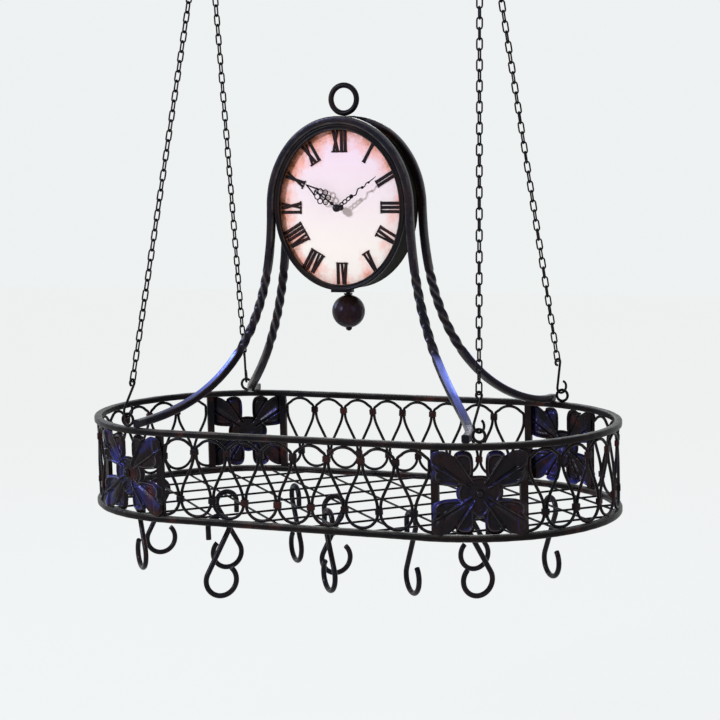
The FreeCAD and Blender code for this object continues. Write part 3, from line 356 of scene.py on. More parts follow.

# %% The rack's irons
# The rims' upper faces get dust and a painted pale sheen.
rim_iron = forged_iron("rim_iron", dark=(0.0040, 0.0038, 0.0048), brown=(0.010, 0.0065, 0.0055),
                       rust_share=0.36, top_dust_and_sheen=0.6, gloss=0.33, shine=0.25, dent_size=0.010, dents=0.5,
                       rust=(0.06, 0.016, 0.010), sheen_colour=(0.80, 0.86, 1.0), worn_highlight_share=0.4)
collar_iron = forged_iron("collar_iron", brown=(0.03, 0.012, 0.010), rust=(0.065, 0.018, 0.012),
                          rust_share=0.95, lucky=True, gloss=0.36)
rod_iron = forged_iron("rod_iron", rust_share=0.15, dents=0.1, gloss=0.30)
hook_iron = forged_iron("hook_iron", rust_share=0.28, dents=0.2, gloss=0.26, shine=0.42,
                        sheen_colour=(0.58, 0.70, 1.0))
chain_iron = forged_iron("chain_iron", rust_share=0.2, dents=0.05, gloss=0.28)
clock_iron = forged_iron("clock_iron", rust_share=0.15, dents=0.25, gloss=0.32, dent_size=0.012)
ball_iron = forged_iron("ball_iron", rust_share=0.45, rust=(0.07, 0.022, 0.008), dents=0.9, gloss=0.27,
                        dent_size=0.0065, sheen_colour=(0.65, 0.50, 1.0), shine=0.45)
print("finishes:", len(bpy.data.materials))


# %% [markdown]
# ## Growing pieces with Geometry Nodes
#
# Most of the rack is bar or wire that follows a line, or one small shape that repeats along a line.
# Both are rules, so both suit Geometry Nodes: a drawn line or a single unit goes in, named inputs
# give the sizes, and plain mesh comes out.


# %% Running a tree and keeping its result
def start_tree(name, inputs):
    """An empty tree with Geometry in and out and the named inputs given."""
    tree = bpy.data.node_groups.new(name, "GeometryNodeTree")
    tree.interface.new_socket("Geometry", in_out="INPUT", socket_type="NodeSocketGeometry")
    for label, kind in inputs.items():
        tree.interface.new_socket(label, in_out="INPUT", socket_type="NodeSocket" + kind)
    tree.interface.new_socket("Geometry", in_out="OUTPUT", socket_type="NodeSocketGeometry")
    return tree, tree.nodes.new("NodeGroupInput"), tree.nodes.new("NodeGroupOutput")


def grow(name, seed_mesh, tree, values):
    """Runs the tree on the seed mesh and keeps the result as a plain mesh object."""
    piece = new_object(name, seed_mesh)
    modifier = piece.modifiers.new(tree.name, "NODES")
    modifier.node_group = tree
    for item in tree.interface.items_tree:
        if item.item_type == "SOCKET" and item.in_out == "INPUT" and item.name in values:
            modifier[item.identifier] = values[item.name]
    depsgraph = bpy.context.evaluated_depsgraph_get()
    result = bpy.data.meshes.new_from_object(piece.evaluated_get(depsgraph), preserve_all_data_layers=True,
                                             depsgraph=depsgraph)
    piece.modifiers.clear()
    piece.data = result
    return piece


def hand_over(piece, body, nodes):
    """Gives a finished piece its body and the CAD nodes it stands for."""
    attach(piece, body)
    if nodes:
        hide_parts(*nodes)
    print("%-24s %6d faces" % (piece.name, len(piece.data.polygons)))


def line_mesh(name, points, sides=None, shares=None, closed=False):
    """A drawn line as mesh edges; sides say which way the bar's flat face looks at each point."""
    mesh = bpy.data.meshes.new(name)
    edges = [(i, i + 1) for i in range(len(points) - 1)]
    if closed:
        edges.append((len(points) - 1, 0))
    mesh.from_pydata([tuple(p) for p in points], edges, [])
    if sides:
        look = mesh.attributes.new("side", "FLOAT_VECTOR", "POINT")
        look.data.foreach_set("vector", [c for side in sides for c in side])
    if shares:
        part = mesh.attributes.new("share", "FLOAT", "POINT")
        part.data.foreach_set("value", shares)
    return mesh


def finish_tree(tree, geometry, entry, leave):
    """Ends a tree: real geometry instead of instances, smooth faces and the finish."""
    real = add(tree, "GeometryNodeRealizeInstances", {0: geometry})
    smooth = add(tree, "GeometryNodeSetShadeSmooth", {"Geometry": real.outputs[0]})
    done = add(tree, "GeometryNodeSetMaterial",
               {"Geometry": smooth.outputs[0], "Material": entry.outputs["Finish"]})
    tree.links.new(done.outputs[0], leave.inputs[0])
    print("tree %s: %d nodes" % (tree.name, len(tree.nodes)))


# %% Tree for a forged bar along a line
bar_tree, entry, leave = start_tree("forged_bar", {
    "Width": "Float", "Height": "Float", "Corner": "Float", "Twist": "Float", "Dent Depth": "Float",
    "Dent Size": "Float", "Finish": "Material"})
path = add(bar_tree, "GeometryNodeMeshToCurve", {"Mesh": entry.outputs["Geometry"]})
look = add(bar_tree, "GeometryNodeInputNamedAttribute", {"Name": "side"}, data_type="FLOAT_VECTOR")
share = add(bar_tree, "GeometryNodeInputNamedAttribute", {"Name": "share"}, data_type="FLOAT")
wound = add(bar_tree, "ShaderNodeVectorRotate", {
    "Vector": look.outputs["Attribute"], "Axis": add(bar_tree, "GeometryNodeInputTangent").outputs[0],
    "Angle": sum_of(bar_tree, "MULTIPLY", share.outputs["Attribute"], entry.outputs["Twist"])})
faced = add(bar_tree, "GeometryNodeSetCurveNormal", {"Curve": path.outputs[0], "Normal": wound.outputs[0]},
            mode="FREE")
section = add(bar_tree, "GeometryNodeCurvePrimitiveQuadrilateral",
              {"Width": entry.outputs["Width"], "Height": entry.outputs["Height"]})
soft = add(bar_tree, "GeometryNodeFilletCurve",
           {"Curve": section.outputs[0], "Count": 3, "Radius": entry.outputs["Corner"]}, mode="POLY")
finer = add(bar_tree, "GeometryNodeSubdivideCurve", {"Curve": soft.outputs[0], "Cuts": 1})
spot = add(bar_tree, "ShaderNodeSeparateXYZ", {0: add(bar_tree, "GeometryNodeInputPosition").outputs[0]})
across = sum_of(bar_tree, "DIVIDE", sum_of(bar_tree, "ABSOLUTE", spot.outputs[0]), entry.outputs["Width"])
along = sum_of(bar_tree, "DIVIDE", sum_of(bar_tree, "ABSOLUTE", spot.outputs[1]), entry.outputs["Height"])
# Corners of the section are marked for worn edges, which also paint highlights along the bar.
cornered = sum_of(bar_tree, "MULTIPLY", sum_of(bar_tree, "MULTIPLY", across, along), 4.6)
marked = add(bar_tree, "GeometryNodeStoreNamedAttribute",
             {"Geometry": finer.outputs[0], "Name": "edge", "Value": cornered},
             data_type="FLOAT", domain="POINT")
swept = add(bar_tree, "GeometryNodeCurveToMesh",
            {"Curve": faced.outputs[0], "Profile Curve": marked.outputs[0], "Fill Caps": True})
bumps = add(bar_tree, "ShaderNodeTexNoise",
            {"Scale": sum_of(bar_tree, "DIVIDE", 1.0, entry.outputs["Dent Size"]), "Detail": 1.0})
depth = sum_of(bar_tree, "MULTIPLY", sum_of(bar_tree, "SUBTRACT", bumps.outputs["Fac"], 0.5),
               entry.outputs["Dent Depth"])
push = add(bar_tree, "ShaderNodeVectorMath",
           {0: add(bar_tree, "GeometryNodeInputNormal").outputs[0], "Scale": depth}, operation="SCALE")
beaten = add(bar_tree, "GeometryNodeSetPosition", {"Geometry": swept.outputs[0], "Offset": push.outputs[0]})
finish_tree(bar_tree, beaten.outputs[0], entry, leave)


# %% [markdown]
# ## The two hoops
#
# The basket's hoops are flat bar, bent to the outline and left with soft, uneven edges. A plain swept
# curve would be quicker but too even. So the line goes round once, and the tree sweeps a rounded
# section along it and dents it slightly.


# %% Upper and lower hoop
def hoop(name, z, node):
    points, sides = [], []
    lap = 4 * QUARTER
    count = 420
    for i in range(count):
        along_wall = -2 * QUARTER + lap * (i + 0.5) / count
        point, direction, outward = wall_place(along_wall)
        points.append(point + Vector((0, 0, z)))
        sides.append(outward)
    piece = grow(name, line_mesh(name, points, sides, closed=True), bar_tree, {
        "Width": RIM_WIDE - 0.0002, "Height": RIM_TALL - 0.0002, "Corner": 0.0022, "Dent Depth": 0.0009,
        "Dent Size": 0.016, "Finish": rim_iron})
    hand_over(piece, "basket", [node])


hoop("hoop_upper", RIM_TOP - RIM_TALL / 2, "upper_rim")
hoop("hoop_lower", RIM_BOTTOM + RIM_TALL / 2, "lower_rim")

# %% [markdown]
# ## Twisted arches
#
# Each arch is one square bar: a half oval over the clock, then two legs that sweep out and down to
# the rim. Part of each leg was heated and twisted. Screw and Simple Deform modifiers twist a straight
# bar, but these legs curve. So the line carries the way one face looks, and the tree turns that face
# further and further along the twisted stretch.

# %% The leg's line
bezel_low, bezel_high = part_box("clock_bezel")
CLOCK_Z = (bezel_low[2] + bezel_high[2]) / 2
BEZEL_A, BEZEL_B = (bezel_high[0] - bezel_low[0]) / 2, (bezel_high[2] - bezel_low[2]) / 2
BAR = 0.0106
ARCH_A, ARCH_B = BEZEL_A + BAR / 2 + 0.0003, BEZEL_B + BAR / 2 + 0.0003
ARCH_GAP = 0.0245
TWIST_TURNS = 1.65
TWIST_FROM, TWIST_TO = 0.202, 0.088
FOOT_TURN = 0.2854


def leg_point(t):
    """Centre line of the front right leg, from beside the clock (0) to its foot on the rim (1)."""
    top = Vector((ARCH_A, -ARCH_GAP, CLOCK_Z))
    foot = Vector((STRAIGHT + WALL_RADIUS * math.sin(FOOT_TURN), -WALL_RADIUS * math.cos(FOOT_TURN),
                   RIM_TOP + BAR / 2 + 0.0001))
    high = top + Vector((0.0035, 0, -0.239))
    low = foot + Vector((-0.0088, 0.1062, 0))
    s = 1 - t
    return top * s ** 3 + high * (3 * s * s * t) + low * (3 * s * t * t) + foot * t ** 3


def arch_line():
    """Points, facing directions and twist shares from the top of the arch down its right leg."""
    points = []
    for i in range(60):
        turn = math.pi / 2 * (1 - i / 60)
        points.append(Vector((ARCH_A * math.cos(turn), -ARCH_GAP, CLOCK_Z + ARCH_B * math.sin(turn))))
    points += [leg_point(i / 260) for i in range(261)]
    sides = [Vector((0, 1, 0))]
    shares = [0.0]
    for i in range(1, len(points)):
        tangent = (points[min(i + 1, len(points) - 1)] - points[i - 1]).normalized()
        side = sides[-1] - tangent * sides[-1].dot(tangent)
        sides.append(side.normalized())
        height = points[i].z - RIM_TOP
        shares.append(min(max((TWIST_FROM - height) / (TWIST_FROM - TWIST_TO), 0.0), 1.0))
    return points, sides, shares


points, sides, shares = arch_line()
tangent = (points[-1] - points[-2]).normalized()
other = tangent.cross(sides[-1])
level_off = math.atan2(other.z, sides[-1].z)


def full_twist(way):
    """The turn nearest to the wanted one, either way round, that sets the foot's face flat on the rim."""
    return level_off + math.pi / 2 * round((way * 2 * math.pi * TWIST_TURNS - level_off) / (math.pi / 2))


print("leg line %d points, twist %.0f and %.0f degrees" % (
    len(points), math.degrees(full_twist(1)), math.degrees(full_twist(-1))))


# %% Front and back arch
def arch(name, front):
    """All four legs are wound the same way; a mirrored leg is given the opposite turn for that."""
    way = -1 if front else 1
    right = [(p, s, share * full_twist(way)) for p, s, share in zip(points, sides, shares)]
    left = [(Vector((-p.x, p.y, p.z)), Vector((-s.x, s.y, s.z)), share * full_twist(-way))
            for p, s, share in reversed(list(zip(points, sides, shares))[1:])]
    points_there, sides_there, shares_there = zip(*(left + right))
    seed = line_mesh(name, points_there, sides_there, shares_there)
    piece = grow(name, seed, bar_tree, {
        "Width": BAR, "Height": BAR, "Corner": 0.0020, "Twist": 1.0, "Dent Depth": 0.0004,
        "Dent Size": 0.012, "Finish": arch_iron})
    if not front:
        piece.data.transform(Matrix.Scale(-1, 4, (0, 1, 0)))
        piece.data.flip_normals()
    hand_over(piece, "basket", [name.replace("bar_", "")])


# The legs get a painted blue reflection on their upper faces below the twist.
arch_iron = forged_iron("arch_iron", rust_share=0.25, worn_highlight_share=0.7, gloss=0.26, shine=0.5, dents=0.3,
                        sheen_colour=(0.50, 0.56, 1.0), blue_sheen="legs", blue=(0.20, 0.25, 0.72))
arch("bar_front_arch", True)
arch("bar_back_arch", False)

# %% [markdown]
# ## Scroll walls
#
# Between the upright bars a single wire snakes up and down. Neighbouring bends touch near the top
# and near the bottom and are clamped there. A long hand-drawn curve would have to be redrawn for each
# wall. So one loop is drawn flat, and the tree repeats it, joins the copies into one line, gives it a
# round section and wraps it round the wall.

# %% One loop of the scroll
WIRE = 0.0042
TOUCH = 0.0001
COLLAR_TALL = 0.009
COLLAR_HIGH, COLLAR_LOW = RIM_TOP - 0.028, RIM_BOTTOM + 0.034


def loop_keys(pitch):
    """Heights and offsets of a half loop, from the low crown up to the top crown."""
    hold = WIRE / 2 + TOUCH
    top = RIM_TOP - RIM_TALL - WIRE / 2 - TOUCH
    bottom = RIM_BOTTOM + RIM_TALL + WIRE / 2 + TOUCH
    high, low = COLLAR_HIGH, COLLAR_LOW
    wide = pitch / 2 - hold
    clamp = COLLAR_TALL / 2
    lean = math.atan2(wide - hold, high - low - 2 * clamp) * 1.35
    half = (wide + hold) / 2
    s = math.sqrt(0.5)
    middle = (high + low) / 2
    return [((-pitch / 2, bottom), (1, 0)), ((-pitch / 2 + wide * s, bottom + 0.006), (s, s)),
            ((-hold, low - clamp), (0, 1)), ((-hold, low + clamp), (0, 1)),
            ((-half, middle), (-math.sin(lean), math.cos(lean))),
            ((-wide, high - clamp), (0, 1)), ((-wide, high + clamp), (0, 1)),
            ((-wide * s, top - 0.006), (s, s)), ((0, top), (1, 0))]


def smooth_line(keys, step=0.003):
    """Points on a smooth curve through keys of position and direction."""
    line = []
    for (a, ta), (b, tb) in zip(keys, keys[1:]):
        a, b, ta, tb = Vector(a), Vector(b), Vector(ta), Vector(tb)
        chord = (b - a).length
        pull = chord * (1.0 + 0.12 * (1 - ta.dot(tb)))
        count = max(2, round(chord / step))
        for i in range(count):
            t = i / count
            line.append(a * (2 * t ** 3 - 3 * t ** 2 + 1) + ta * pull * (t ** 3 - 2 * t ** 2 + t)
                        + b * (3 * t ** 2 - 2 * t ** 3) + tb * pull * (t ** 3 - t ** 2))
    line.append(Vector(keys[-1][0]))
    return line


def scroll_loop(pitch):
    rise = smooth_line(loop_keys(pitch))
    fall = [Vector((-p.x, p.y)) for p in reversed(rise[:-1])]
    return [Vector((p.x, 0, p.y)) for p in rise + fall]


print("loop points:", len(scroll_loop(0.048)))


# %% Wrapping flat work round the wall
def wrap_round(tree, geometry, middle):
    """Bends geometry drawn as (along, outwards, height) round the basket's outline."""
    spot = add(tree, "ShaderNodeSeparateXYZ", {0: add(tree, "GeometryNodeInputPosition").outputs[0]})
    run = sum_of(tree, "ADD", spot.outputs[0], middle)
    sign = sum_of(tree, "SIGN", run)
    run = sum_of(tree, "ABSOLUTE", run)
    reach = sum_of(tree, "ADD", spot.outputs[1], WALL_RADIUS)
    straight = sum_of(tree, "MINIMUM", run, STRAIGHT)
    past = sum_of(tree, "MAXIMUM", sum_of(tree, "SUBTRACT", run, STRAIGHT), 0.0)
    turn = sum_of(tree, "DIVIDE", past, WALL_RADIUS)
    x = sum_of(tree, "ADD", straight, sum_of(tree, "MULTIPLY", reach, sum_of(tree, "SINE", turn)))
    y = sum_of(tree, "MULTIPLY", sum_of(tree, "MULTIPLY", reach, sum_of(tree, "COSINE", turn)), -1.0)
    bent_to = add(tree, "ShaderNodeCombineXYZ", {0: sum_of(tree, "MULTIPLY", sign, x), 1: y, 2: spot.outputs[2]})
    return add(tree, "GeometryNodeSetPosition",
               {"Geometry": geometry, "Position": bent_to.outputs[0]}).outputs[0]


def centred_row(tree, count, pitch, height=0.0):
    """Points along X, a pitch apart, with the row's middle at the origin."""
    first = sum_of(tree, "MULTIPLY", pitch,
                   sum_of(tree, "MULTIPLY", sum_of(tree, "SUBTRACT", count, 1.0), -0.5))
    return add(tree, "GeometryNodeMeshLine", {
        "Count": count,
        "Start Location": add(tree, "ShaderNodeCombineXYZ", {0: first, 2: height}).outputs[0],
        "Offset": add(tree, "ShaderNodeCombineXYZ", {0: pitch}).outputs[0]}).outputs[0]


print("walls bend to a radius of %.1f mm" % (1000 * WALL_RADIUS))

# %% Tree for the scroll wire
scroll_tree, entry, leave = start_tree("scroll_wire", {
    "Loops": "Int", "Pitch": "Float", "Middle": "Float", "Wire": "Float", "Unevenness": "Float",
    "Finish": "Material"})
row = centred_row(scroll_tree, entry.outputs["Loops"], entry.outputs["Pitch"])
copies = add(scroll_tree, "GeometryNodeInstanceOnPoints", {"Points": row, "Instance": entry.outputs["Geometry"]})
real = add(scroll_tree, "GeometryNodeRealizeInstances", {0: copies.outputs[0]})
joined = add(scroll_tree, "GeometryNodeMergeByDistance", {"Geometry": real.outputs[0], "Distance": 0.0002})
wobble = add(scroll_tree, "ShaderNodeTexNoise", {"Scale": 22.0, "Detail": 1.0})
centred = add(scroll_tree, "ShaderNodeVectorMath", {0: wobble.outputs["Color"], 1: (0.5, 0.5, 0.5)},
              operation="SUBTRACT")
scaled = add(scroll_tree, "ShaderNodeVectorMath", {0: centred.outputs[0], "Scale": entry.outputs["Unevenness"]},
             operation="SCALE")
bent = add(scroll_tree, "GeometryNodeSetPosition", {"Geometry": joined.outputs[0], "Offset": scaled.outputs[0]})
line = add(scroll_tree, "GeometryNodeMeshToCurve", {"Mesh": bent.outputs[0]})
ring = add(scroll_tree, "GeometryNodeCurvePrimitiveCircle",
           {"Resolution": 10, "Radius": sum_of(scroll_tree, "MULTIPLY", entry.outputs["Wire"], 0.5)})
round_bar = add(scroll_tree, "GeometryNodeCurveToMesh",
                {"Curve": line.outputs[0], "Profile Curve": ring.outputs[0], "Fill Caps": True})
wrapped = wrap_round(scroll_tree, round_bar.outputs[0], entry.outputs["Middle"])
finish_tree(scroll_tree, wrapped, entry, leave)

# %% Scroll wire of the four walls
UPRIGHT_HALF = 0.005 + TOUCH
HALF_PITCH = 0.057
FRONT_SPAN = PANEL_MID - HALF_PITCH - UPRIGHT_HALF
END_SPAN = QUARTER - PANEL_MID - HALF_PITCH - UPRIGHT_HALF
HALF_TURN = Matrix.Rotation(math.pi, 4, "Z")
walls = [("front", 0.0, FRONT_SPAN, 8, False), ("right", QUARTER, END_SPAN, 7, False),
         ("back", 0.0, FRONT_SPAN, 8, True), ("left", QUARTER, END_SPAN, 7, True)]
for wall, middle, span, loops, far_side in walls:
    pitch = 2 * span / loops
    piece = grow("scroll_" + wall, line_mesh("scroll_" + wall, scroll_loop(pitch)), scroll_tree, {
        "Loops": loops, "Pitch": pitch, "Middle": middle, "Wire": WIRE, "Unevenness": 0.0009,
        "Finish": rod_iron})
    if far_side:
        piece.data.transform(HALF_TURN)
    hand_over(piece, "basket", ["scroll_wire_" + wall])


# %% [markdown]
# ## Collars
#
# Where two bends touch, a short strap is wrapped round both and hammered tight. Fifty-six straps
# set by hand would be slow and too regular. So the strap is drawn once, and the tree sets copies at two
# heights along the wall, tilts each a little, and stores a random number on each so that the finish
# can make some redder than others.


# %% One strap
STRAP_WIDE = 2 * WIRE + 4 * TOUCH + 0.0010
STRAP_DEEP = WIRE + 2 * TOUCH + 0.0016


def strap_mesh(width, depth, height, soft_edge):
    """A short rounded block about its own middle."""
    mesh = bpy.data.meshes.new("strap")
    shape = bmesh.new()
    bmesh.ops.create_cube(shape, size=1.0)
    bmesh.ops.scale(shape, vec=(width, depth, height), verts=shape.verts)
    bmesh.ops.bevel(shape, geom=shape.edges[:], offset=soft_edge, segments=2, profile=0.6, affect="EDGES")
    shape.to_mesh(mesh)
    shape.free()
    return mesh


print("strap %.1f x %.1f x %.1f mm" % (1000 * STRAP_WIDE, 1000 * STRAP_DEEP, 1000 * COLLAR_TALL))

# %% Tree that repeats a small piece along the wall
repeat_tree, entry, leave = start_tree("repeat_along_wall", {
    "Count": "Int", "Pitch": "Float", "Middle": "Float", "Height": "Float", "Tilt": "Float", "Seed": "Int",
    "Finish": "Material"})
row = centred_row(repeat_tree, entry.outputs["Count"], entry.outputs["Pitch"], entry.outputs["Height"])
lean = add(repeat_tree, "FunctionNodeRandomValue", {
    0: (-0.4, -1.0, -0.5), 1: (0.4, 1.0, 0.5), "Seed": entry.outputs["Seed"]}, data_type="FLOAT_VECTOR")
lean = add(repeat_tree, "ShaderNodeVectorMath", {0: lean.outputs[0], "Scale": entry.outputs["Tilt"]},
           operation="SCALE")
size = add(repeat_tree, "FunctionNodeRandomValue", {
    0: (0.95, 0.95, 0.88), 1: (1.04, 1.06, 1.08), "Seed": entry.outputs["Seed"]}, data_type="FLOAT_VECTOR")
copies = add(repeat_tree, "GeometryNodeInstanceOnPoints", {
    "Points": row, "Instance": entry.outputs["Geometry"], "Rotation": lean.outputs[0],
    "Scale": size.outputs[0]})
luck = add(repeat_tree, "FunctionNodeRandomValue", {2: 0.0, 3: 1.0, "Seed": entry.outputs["Seed"]},
           data_type="FLOAT")
marked = add(repeat_tree, "GeometryNodeStoreNamedAttribute",
             {"Geometry": copies.outputs[0], "Name": "luck", "Value": luck.outputs[1]},
             data_type="FLOAT", domain="INSTANCE")
real = add(repeat_tree, "GeometryNodeRealizeInstances", {0: marked.outputs[0]})
wrapped = wrap_round(repeat_tree, real.outputs[0], entry.outputs["Middle"])
finish_tree(repeat_tree, wrapped, entry, leave)

# %% Collars of the four walls
def join_into(name, parts):
    """Joins mesh objects into one plain object."""
    shape = bmesh.new()
    for part in parts:
        shape.from_mesh(part.data)
    joined_mesh = bpy.data.meshes.new(name)
    shape.to_mesh(joined_mesh)
    shape.free()
    finishes = parts[0].data.materials[:]
    for part in parts:
        bpy.data.objects.remove(part)
    return new_object(name, joined_mesh, *finishes)


for number, (wall, middle, span, loops, far_side) in enumerate(walls):
    rows = []
    for label, count, height in (("high", loops - 1, COLLAR_HIGH), ("low", loops, COLLAR_LOW)):
        strap = strap_mesh(STRAP_WIDE, STRAP_DEEP, COLLAR_TALL, 0.0009)
        rows.append(grow("strap_" + label, strap, repeat_tree, {
            "Count": count, "Pitch": 2 * span / loops, "Middle": middle, "Height": height, "Tilt": 0.07,
            "Seed": 3 + 7 * number + count, "Finish": collar_iron}))
    collars = join_into("collars_" + wall, rows)
    if far_side:
        collars.data.transform(HALF_TURN)
    hand_over(collars, "basket", ["scroll_collars_" + wall])

# %% [markdown]
# ## Leaf panels
#
# Four pressed panels each show a cross of leaves: three at every corner, puffed out towards the
# viewer, with a raised double rib on each diagonal and a rivet in the middle. Sculpting one would give
# a mesh that can't be changed by a number. So the sheet is a fine grid that is cut along the leaves'
# outline, pushed out by a height rule and bent to the wall, and one sheet is mirrored for all four.

# %% The leaves' shape
PANEL_HALF_WIDE = 0.0612
PANEL_HALF_TALL = (RIM_TOP - RIM_BOTTOM) / 2 - RIM_TALL - 0.0001
RIB_SPREAD = 0.22
# Each leaf is an oval, in millimetres: centre across and up, half length and width, heading in
# degrees, and how square the oval is (2 is an ellipse).
leaves = []
for sx in (1, -1):
    for sz in (1, -1):
        leaves.append((sx * (20.6 if sz > 0 else 19.0), sz * 33.5, 20.5, 13.0, 90, 3.1))
        leaves.append((sx * 36.0, sz * 20.4, 25.0, 12.6, sx * sz * 6, 2.7))
        leaves.append((sx * 42.5, sz * 34.6, 23.0, 16.0, sx * sz * 45, 2.0))
leaves.append((0, 0, 30.0, 22.5, 0, 2.0))
leaves.append((0, -20.0, 12.5, 12.5, 0, 2.0))


def leaf_depth(a, h):
    """How deep a point lies inside the leaves, in millimetres (above 0 is inside)."""
    inside = -9.0
    for ca, ch, long_half, wide_half, heading, squareness in leaves:
        c, s = math.cos(math.radians(heading)), math.sin(math.radians(heading))
        u = abs((a - ca) * c + (h - ch) * s) / long_half
        v = abs((h - ch) * c - (a - ca) * s) / wide_half
        inside = max(inside, (1 - (u ** squareness + v ** squareness) ** (1 / squareness)) * wide_half)
    return inside


def step_up(x, low, high):
    """Smooth rise from 0 to 1."""
    t = min(max((x - low) / (high - low), 0.0), 1.0)
    return t * t * (3 - 2 * t)


def hump(x, middle, width):
    return math.exp(-((x - middle) / width) ** 2)


def sheet_height(a, h):
    """Relief in millimetres: ribs either side of each corner leaf, lips round the edge, a domed middle."""
    inside = max(leaf_depth(a, h), 0.0)
    out_from_middle = (abs(a) + abs(h)) / math.sqrt(2)
    off = abs(abs(h) - abs(a)) / math.sqrt(2)
    rib_at = RIB_SPREAD * out_from_middle + 0.8
    rib_run = step_up(out_from_middle, 6, 18) * (1 - step_up(out_from_middle, 56, 74))
    rib = 5.6 * hump(off, rib_at, 1.5) * rib_run
    leaf = 3.9 * (1 - (off / rib_at) ** 2) * step_up(out_from_middle, 10, 30) if off < rib_at else 0.0
    lip = (3.9 if off > rib_at else 2.6) * hump(inside, 3.4, 1.7)
    side_leaf = 2.2 * hump(inside, 8.5, 4.0) if off > rib_at else 0.0
    middle = 4.2 * hump(math.hypot(a, h), 0, 10.5)
    swell = (rib ** 3 + leaf ** 3 + lip ** 3 + side_leaf ** 3 + middle ** 3) ** (1 / 3)
    return 0.5 * step_up(inside, 0, 1.5) + swell + 3.0 * step_up(abs(a), 45, 50.5)


print("leaves:", len(leaves))


# %% Cutting the sheet and bending it to the wall
def leaf_sheet(name):
    step = 0.95
    wide, tall = 1000 * PANEL_HALF_WIDE, 1000 * PANEL_HALF_TALL
    columns, lines = round(2 * wide / step), round(2 * tall / step)
    grid = {}
    for i in range(columns + 1):
        for j in range(lines + 1):
            a, h = -wide + 2 * wide * i / columns, -tall + 2 * tall * j / lines
            grid[i, j] = (a, h, leaf_depth(a, h))
    verts, faces, kept = [], [], {}

    def vertex(key, a, h):
        if key not in kept:
            kept[key] = len(verts)
            verts.append((a, h))
        return kept[key]

    for i in range(columns):
        for j in range(lines):
            ring = [(i, j), (i + 1, j), (i + 1, j + 1), (i, j + 1)]
            face = []
            for k in range(4):
                p, q = ring[k], ring[(k + 1) % 4]
                a, h, d = grid[p]
                b, g, e = grid[q]
                if d > 0:
                    face.append(vertex(p, a, h))
                if (d > 0) != (e > 0):
                    t = d / (d - e)
                    face.append(vertex((min(p, q), max(p, q)), a + (b - a) * t, h + (g - h) * t))
            if len(face) > 2:
                faces.append(face)
    mesh = bpy.data.meshes.new(name)
    middle = (RIM_TOP + RIM_BOTTOM) / 2
    placed = []
    for a, h in verts:
        out = 0.0004 + 0.001 * sheet_height(a, h)
        point = wall_place(PANEL_MID + a / 1000, out)[0]
        placed.append((point.x, point.y, middle + h / 1000))
    mesh.from_pydata(placed, [], faces)
    worn_highlight_edge = mesh.attributes.new("edge", "FLOAT", "POINT")
    worn_highlight_edge.data.foreach_set("value", [edge_wear_and_highlight(a, h) for a, h in verts])
    print("leaf sheet: %d faces of %.2f mm" % (len(faces), step))
    return mesh


# %% Worn edges with painted highlights, and the four panels
def edge_wear_and_highlight(a, h):
    """Worn bright along the ribs, the lips and the cut edge, which also paints highlights on these crests."""
    inside = leaf_depth(a, h)
    off = abs(abs(h) - abs(a)) / math.sqrt(2)
    rib_at = RIB_SPREAD * (abs(a) + abs(h)) / math.sqrt(2) + 0.8
    far_out = step_up(math.hypot(a, h), 9, 16)
    return max(0.8 * hump(inside, 0, 0.5), hump(off, rib_at, 0.8) * far_out,
               hump(inside, 3.4, 0.7) * step_up(off, rib_at, rib_at + 3) * far_out)


# The leaves get a painted blue reflection in clouds on faces that look up and to the left.
panel_iron = forged_iron("panel_iron", brown=(0.014, 0.007, 0.006), rust_share=0.35,
                         rust=(0.07, 0.016, 0.010), worn_highlight=(0.15, 0.15, 0.155), worn_highlight_share=0.55, gloss=0.27,
                         shine=0.42, dents=0.25, dent_size=0.005, sheen_colour=(0.74, 0.77, 1.0),
                         blue_sheen=0.9)
SHEET_THICK = 0.0012
CORNERS = {"front_right": (1, 1), "front_left": (-1, 1), "back_right": (1, -1), "back_left": (-1, -1)}
sheet = leaf_sheet("leaf_sheet")
for corner, (sx, sy) in CORNERS.items():
    mesh = sheet.copy()
    mesh.transform(Matrix.Diagonal((sx, sy, 1, 1)))
    if sx * sy < 0:
        mesh.flip_normals()
    mesh.shade_smooth()
    piece = new_object("leaves_" + corner, mesh, panel_iron)
    thick = piece.modifiers.new("thickness", "SOLIDIFY")
    thick.thickness = SHEET_THICK
    thick.offset = -1
    hand_over(piece, "basket", ["leaf_panel_" + corner])


# %% [markdown]
# ### Rivets
#
# A domed rivet sits in the middle of each cross of leaves. A sphere cut in half would do for the dome,
# but not for the flat foot under it. So the rivet is turned as on a lathe: half of its outline is spun
# about the axis, and the poles are closed.


# %% Domed rivets
def lathe(name, profile, around=32):
    """A lathe-turned piece about +Z from (radius, height) points; the ends lie on the axis."""
    shape = bmesh.new()
    rings = []
    for radius, height in profile:
        if radius == 0:
            rings.append([shape.verts.new((0, 0, height))] * around)
        else:
            spokes = [2 * math.pi * k / around for k in range(around)]
            rings.append([shape.verts.new((radius * math.cos(t), radius * math.sin(t), height)) for t in spokes])
    for lower, upper in zip(rings, rings[1:]):
        for k in range(around):
            corners = [lower[k], lower[(k + 1) % around], upper[(k + 1) % around], upper[k]]
            corners = [c for i, c in enumerate(corners) if c not in corners[:i]]
            if len(corners) > 2:
                shape.faces.new(corners)
    bmesh.ops.recalc_face_normals(shape, faces=shape.faces[:])
    mesh = bpy.data.meshes.new(name)
    shape.to_mesh(mesh)
    shape.free()
    mesh.shade_smooth()
    return mesh


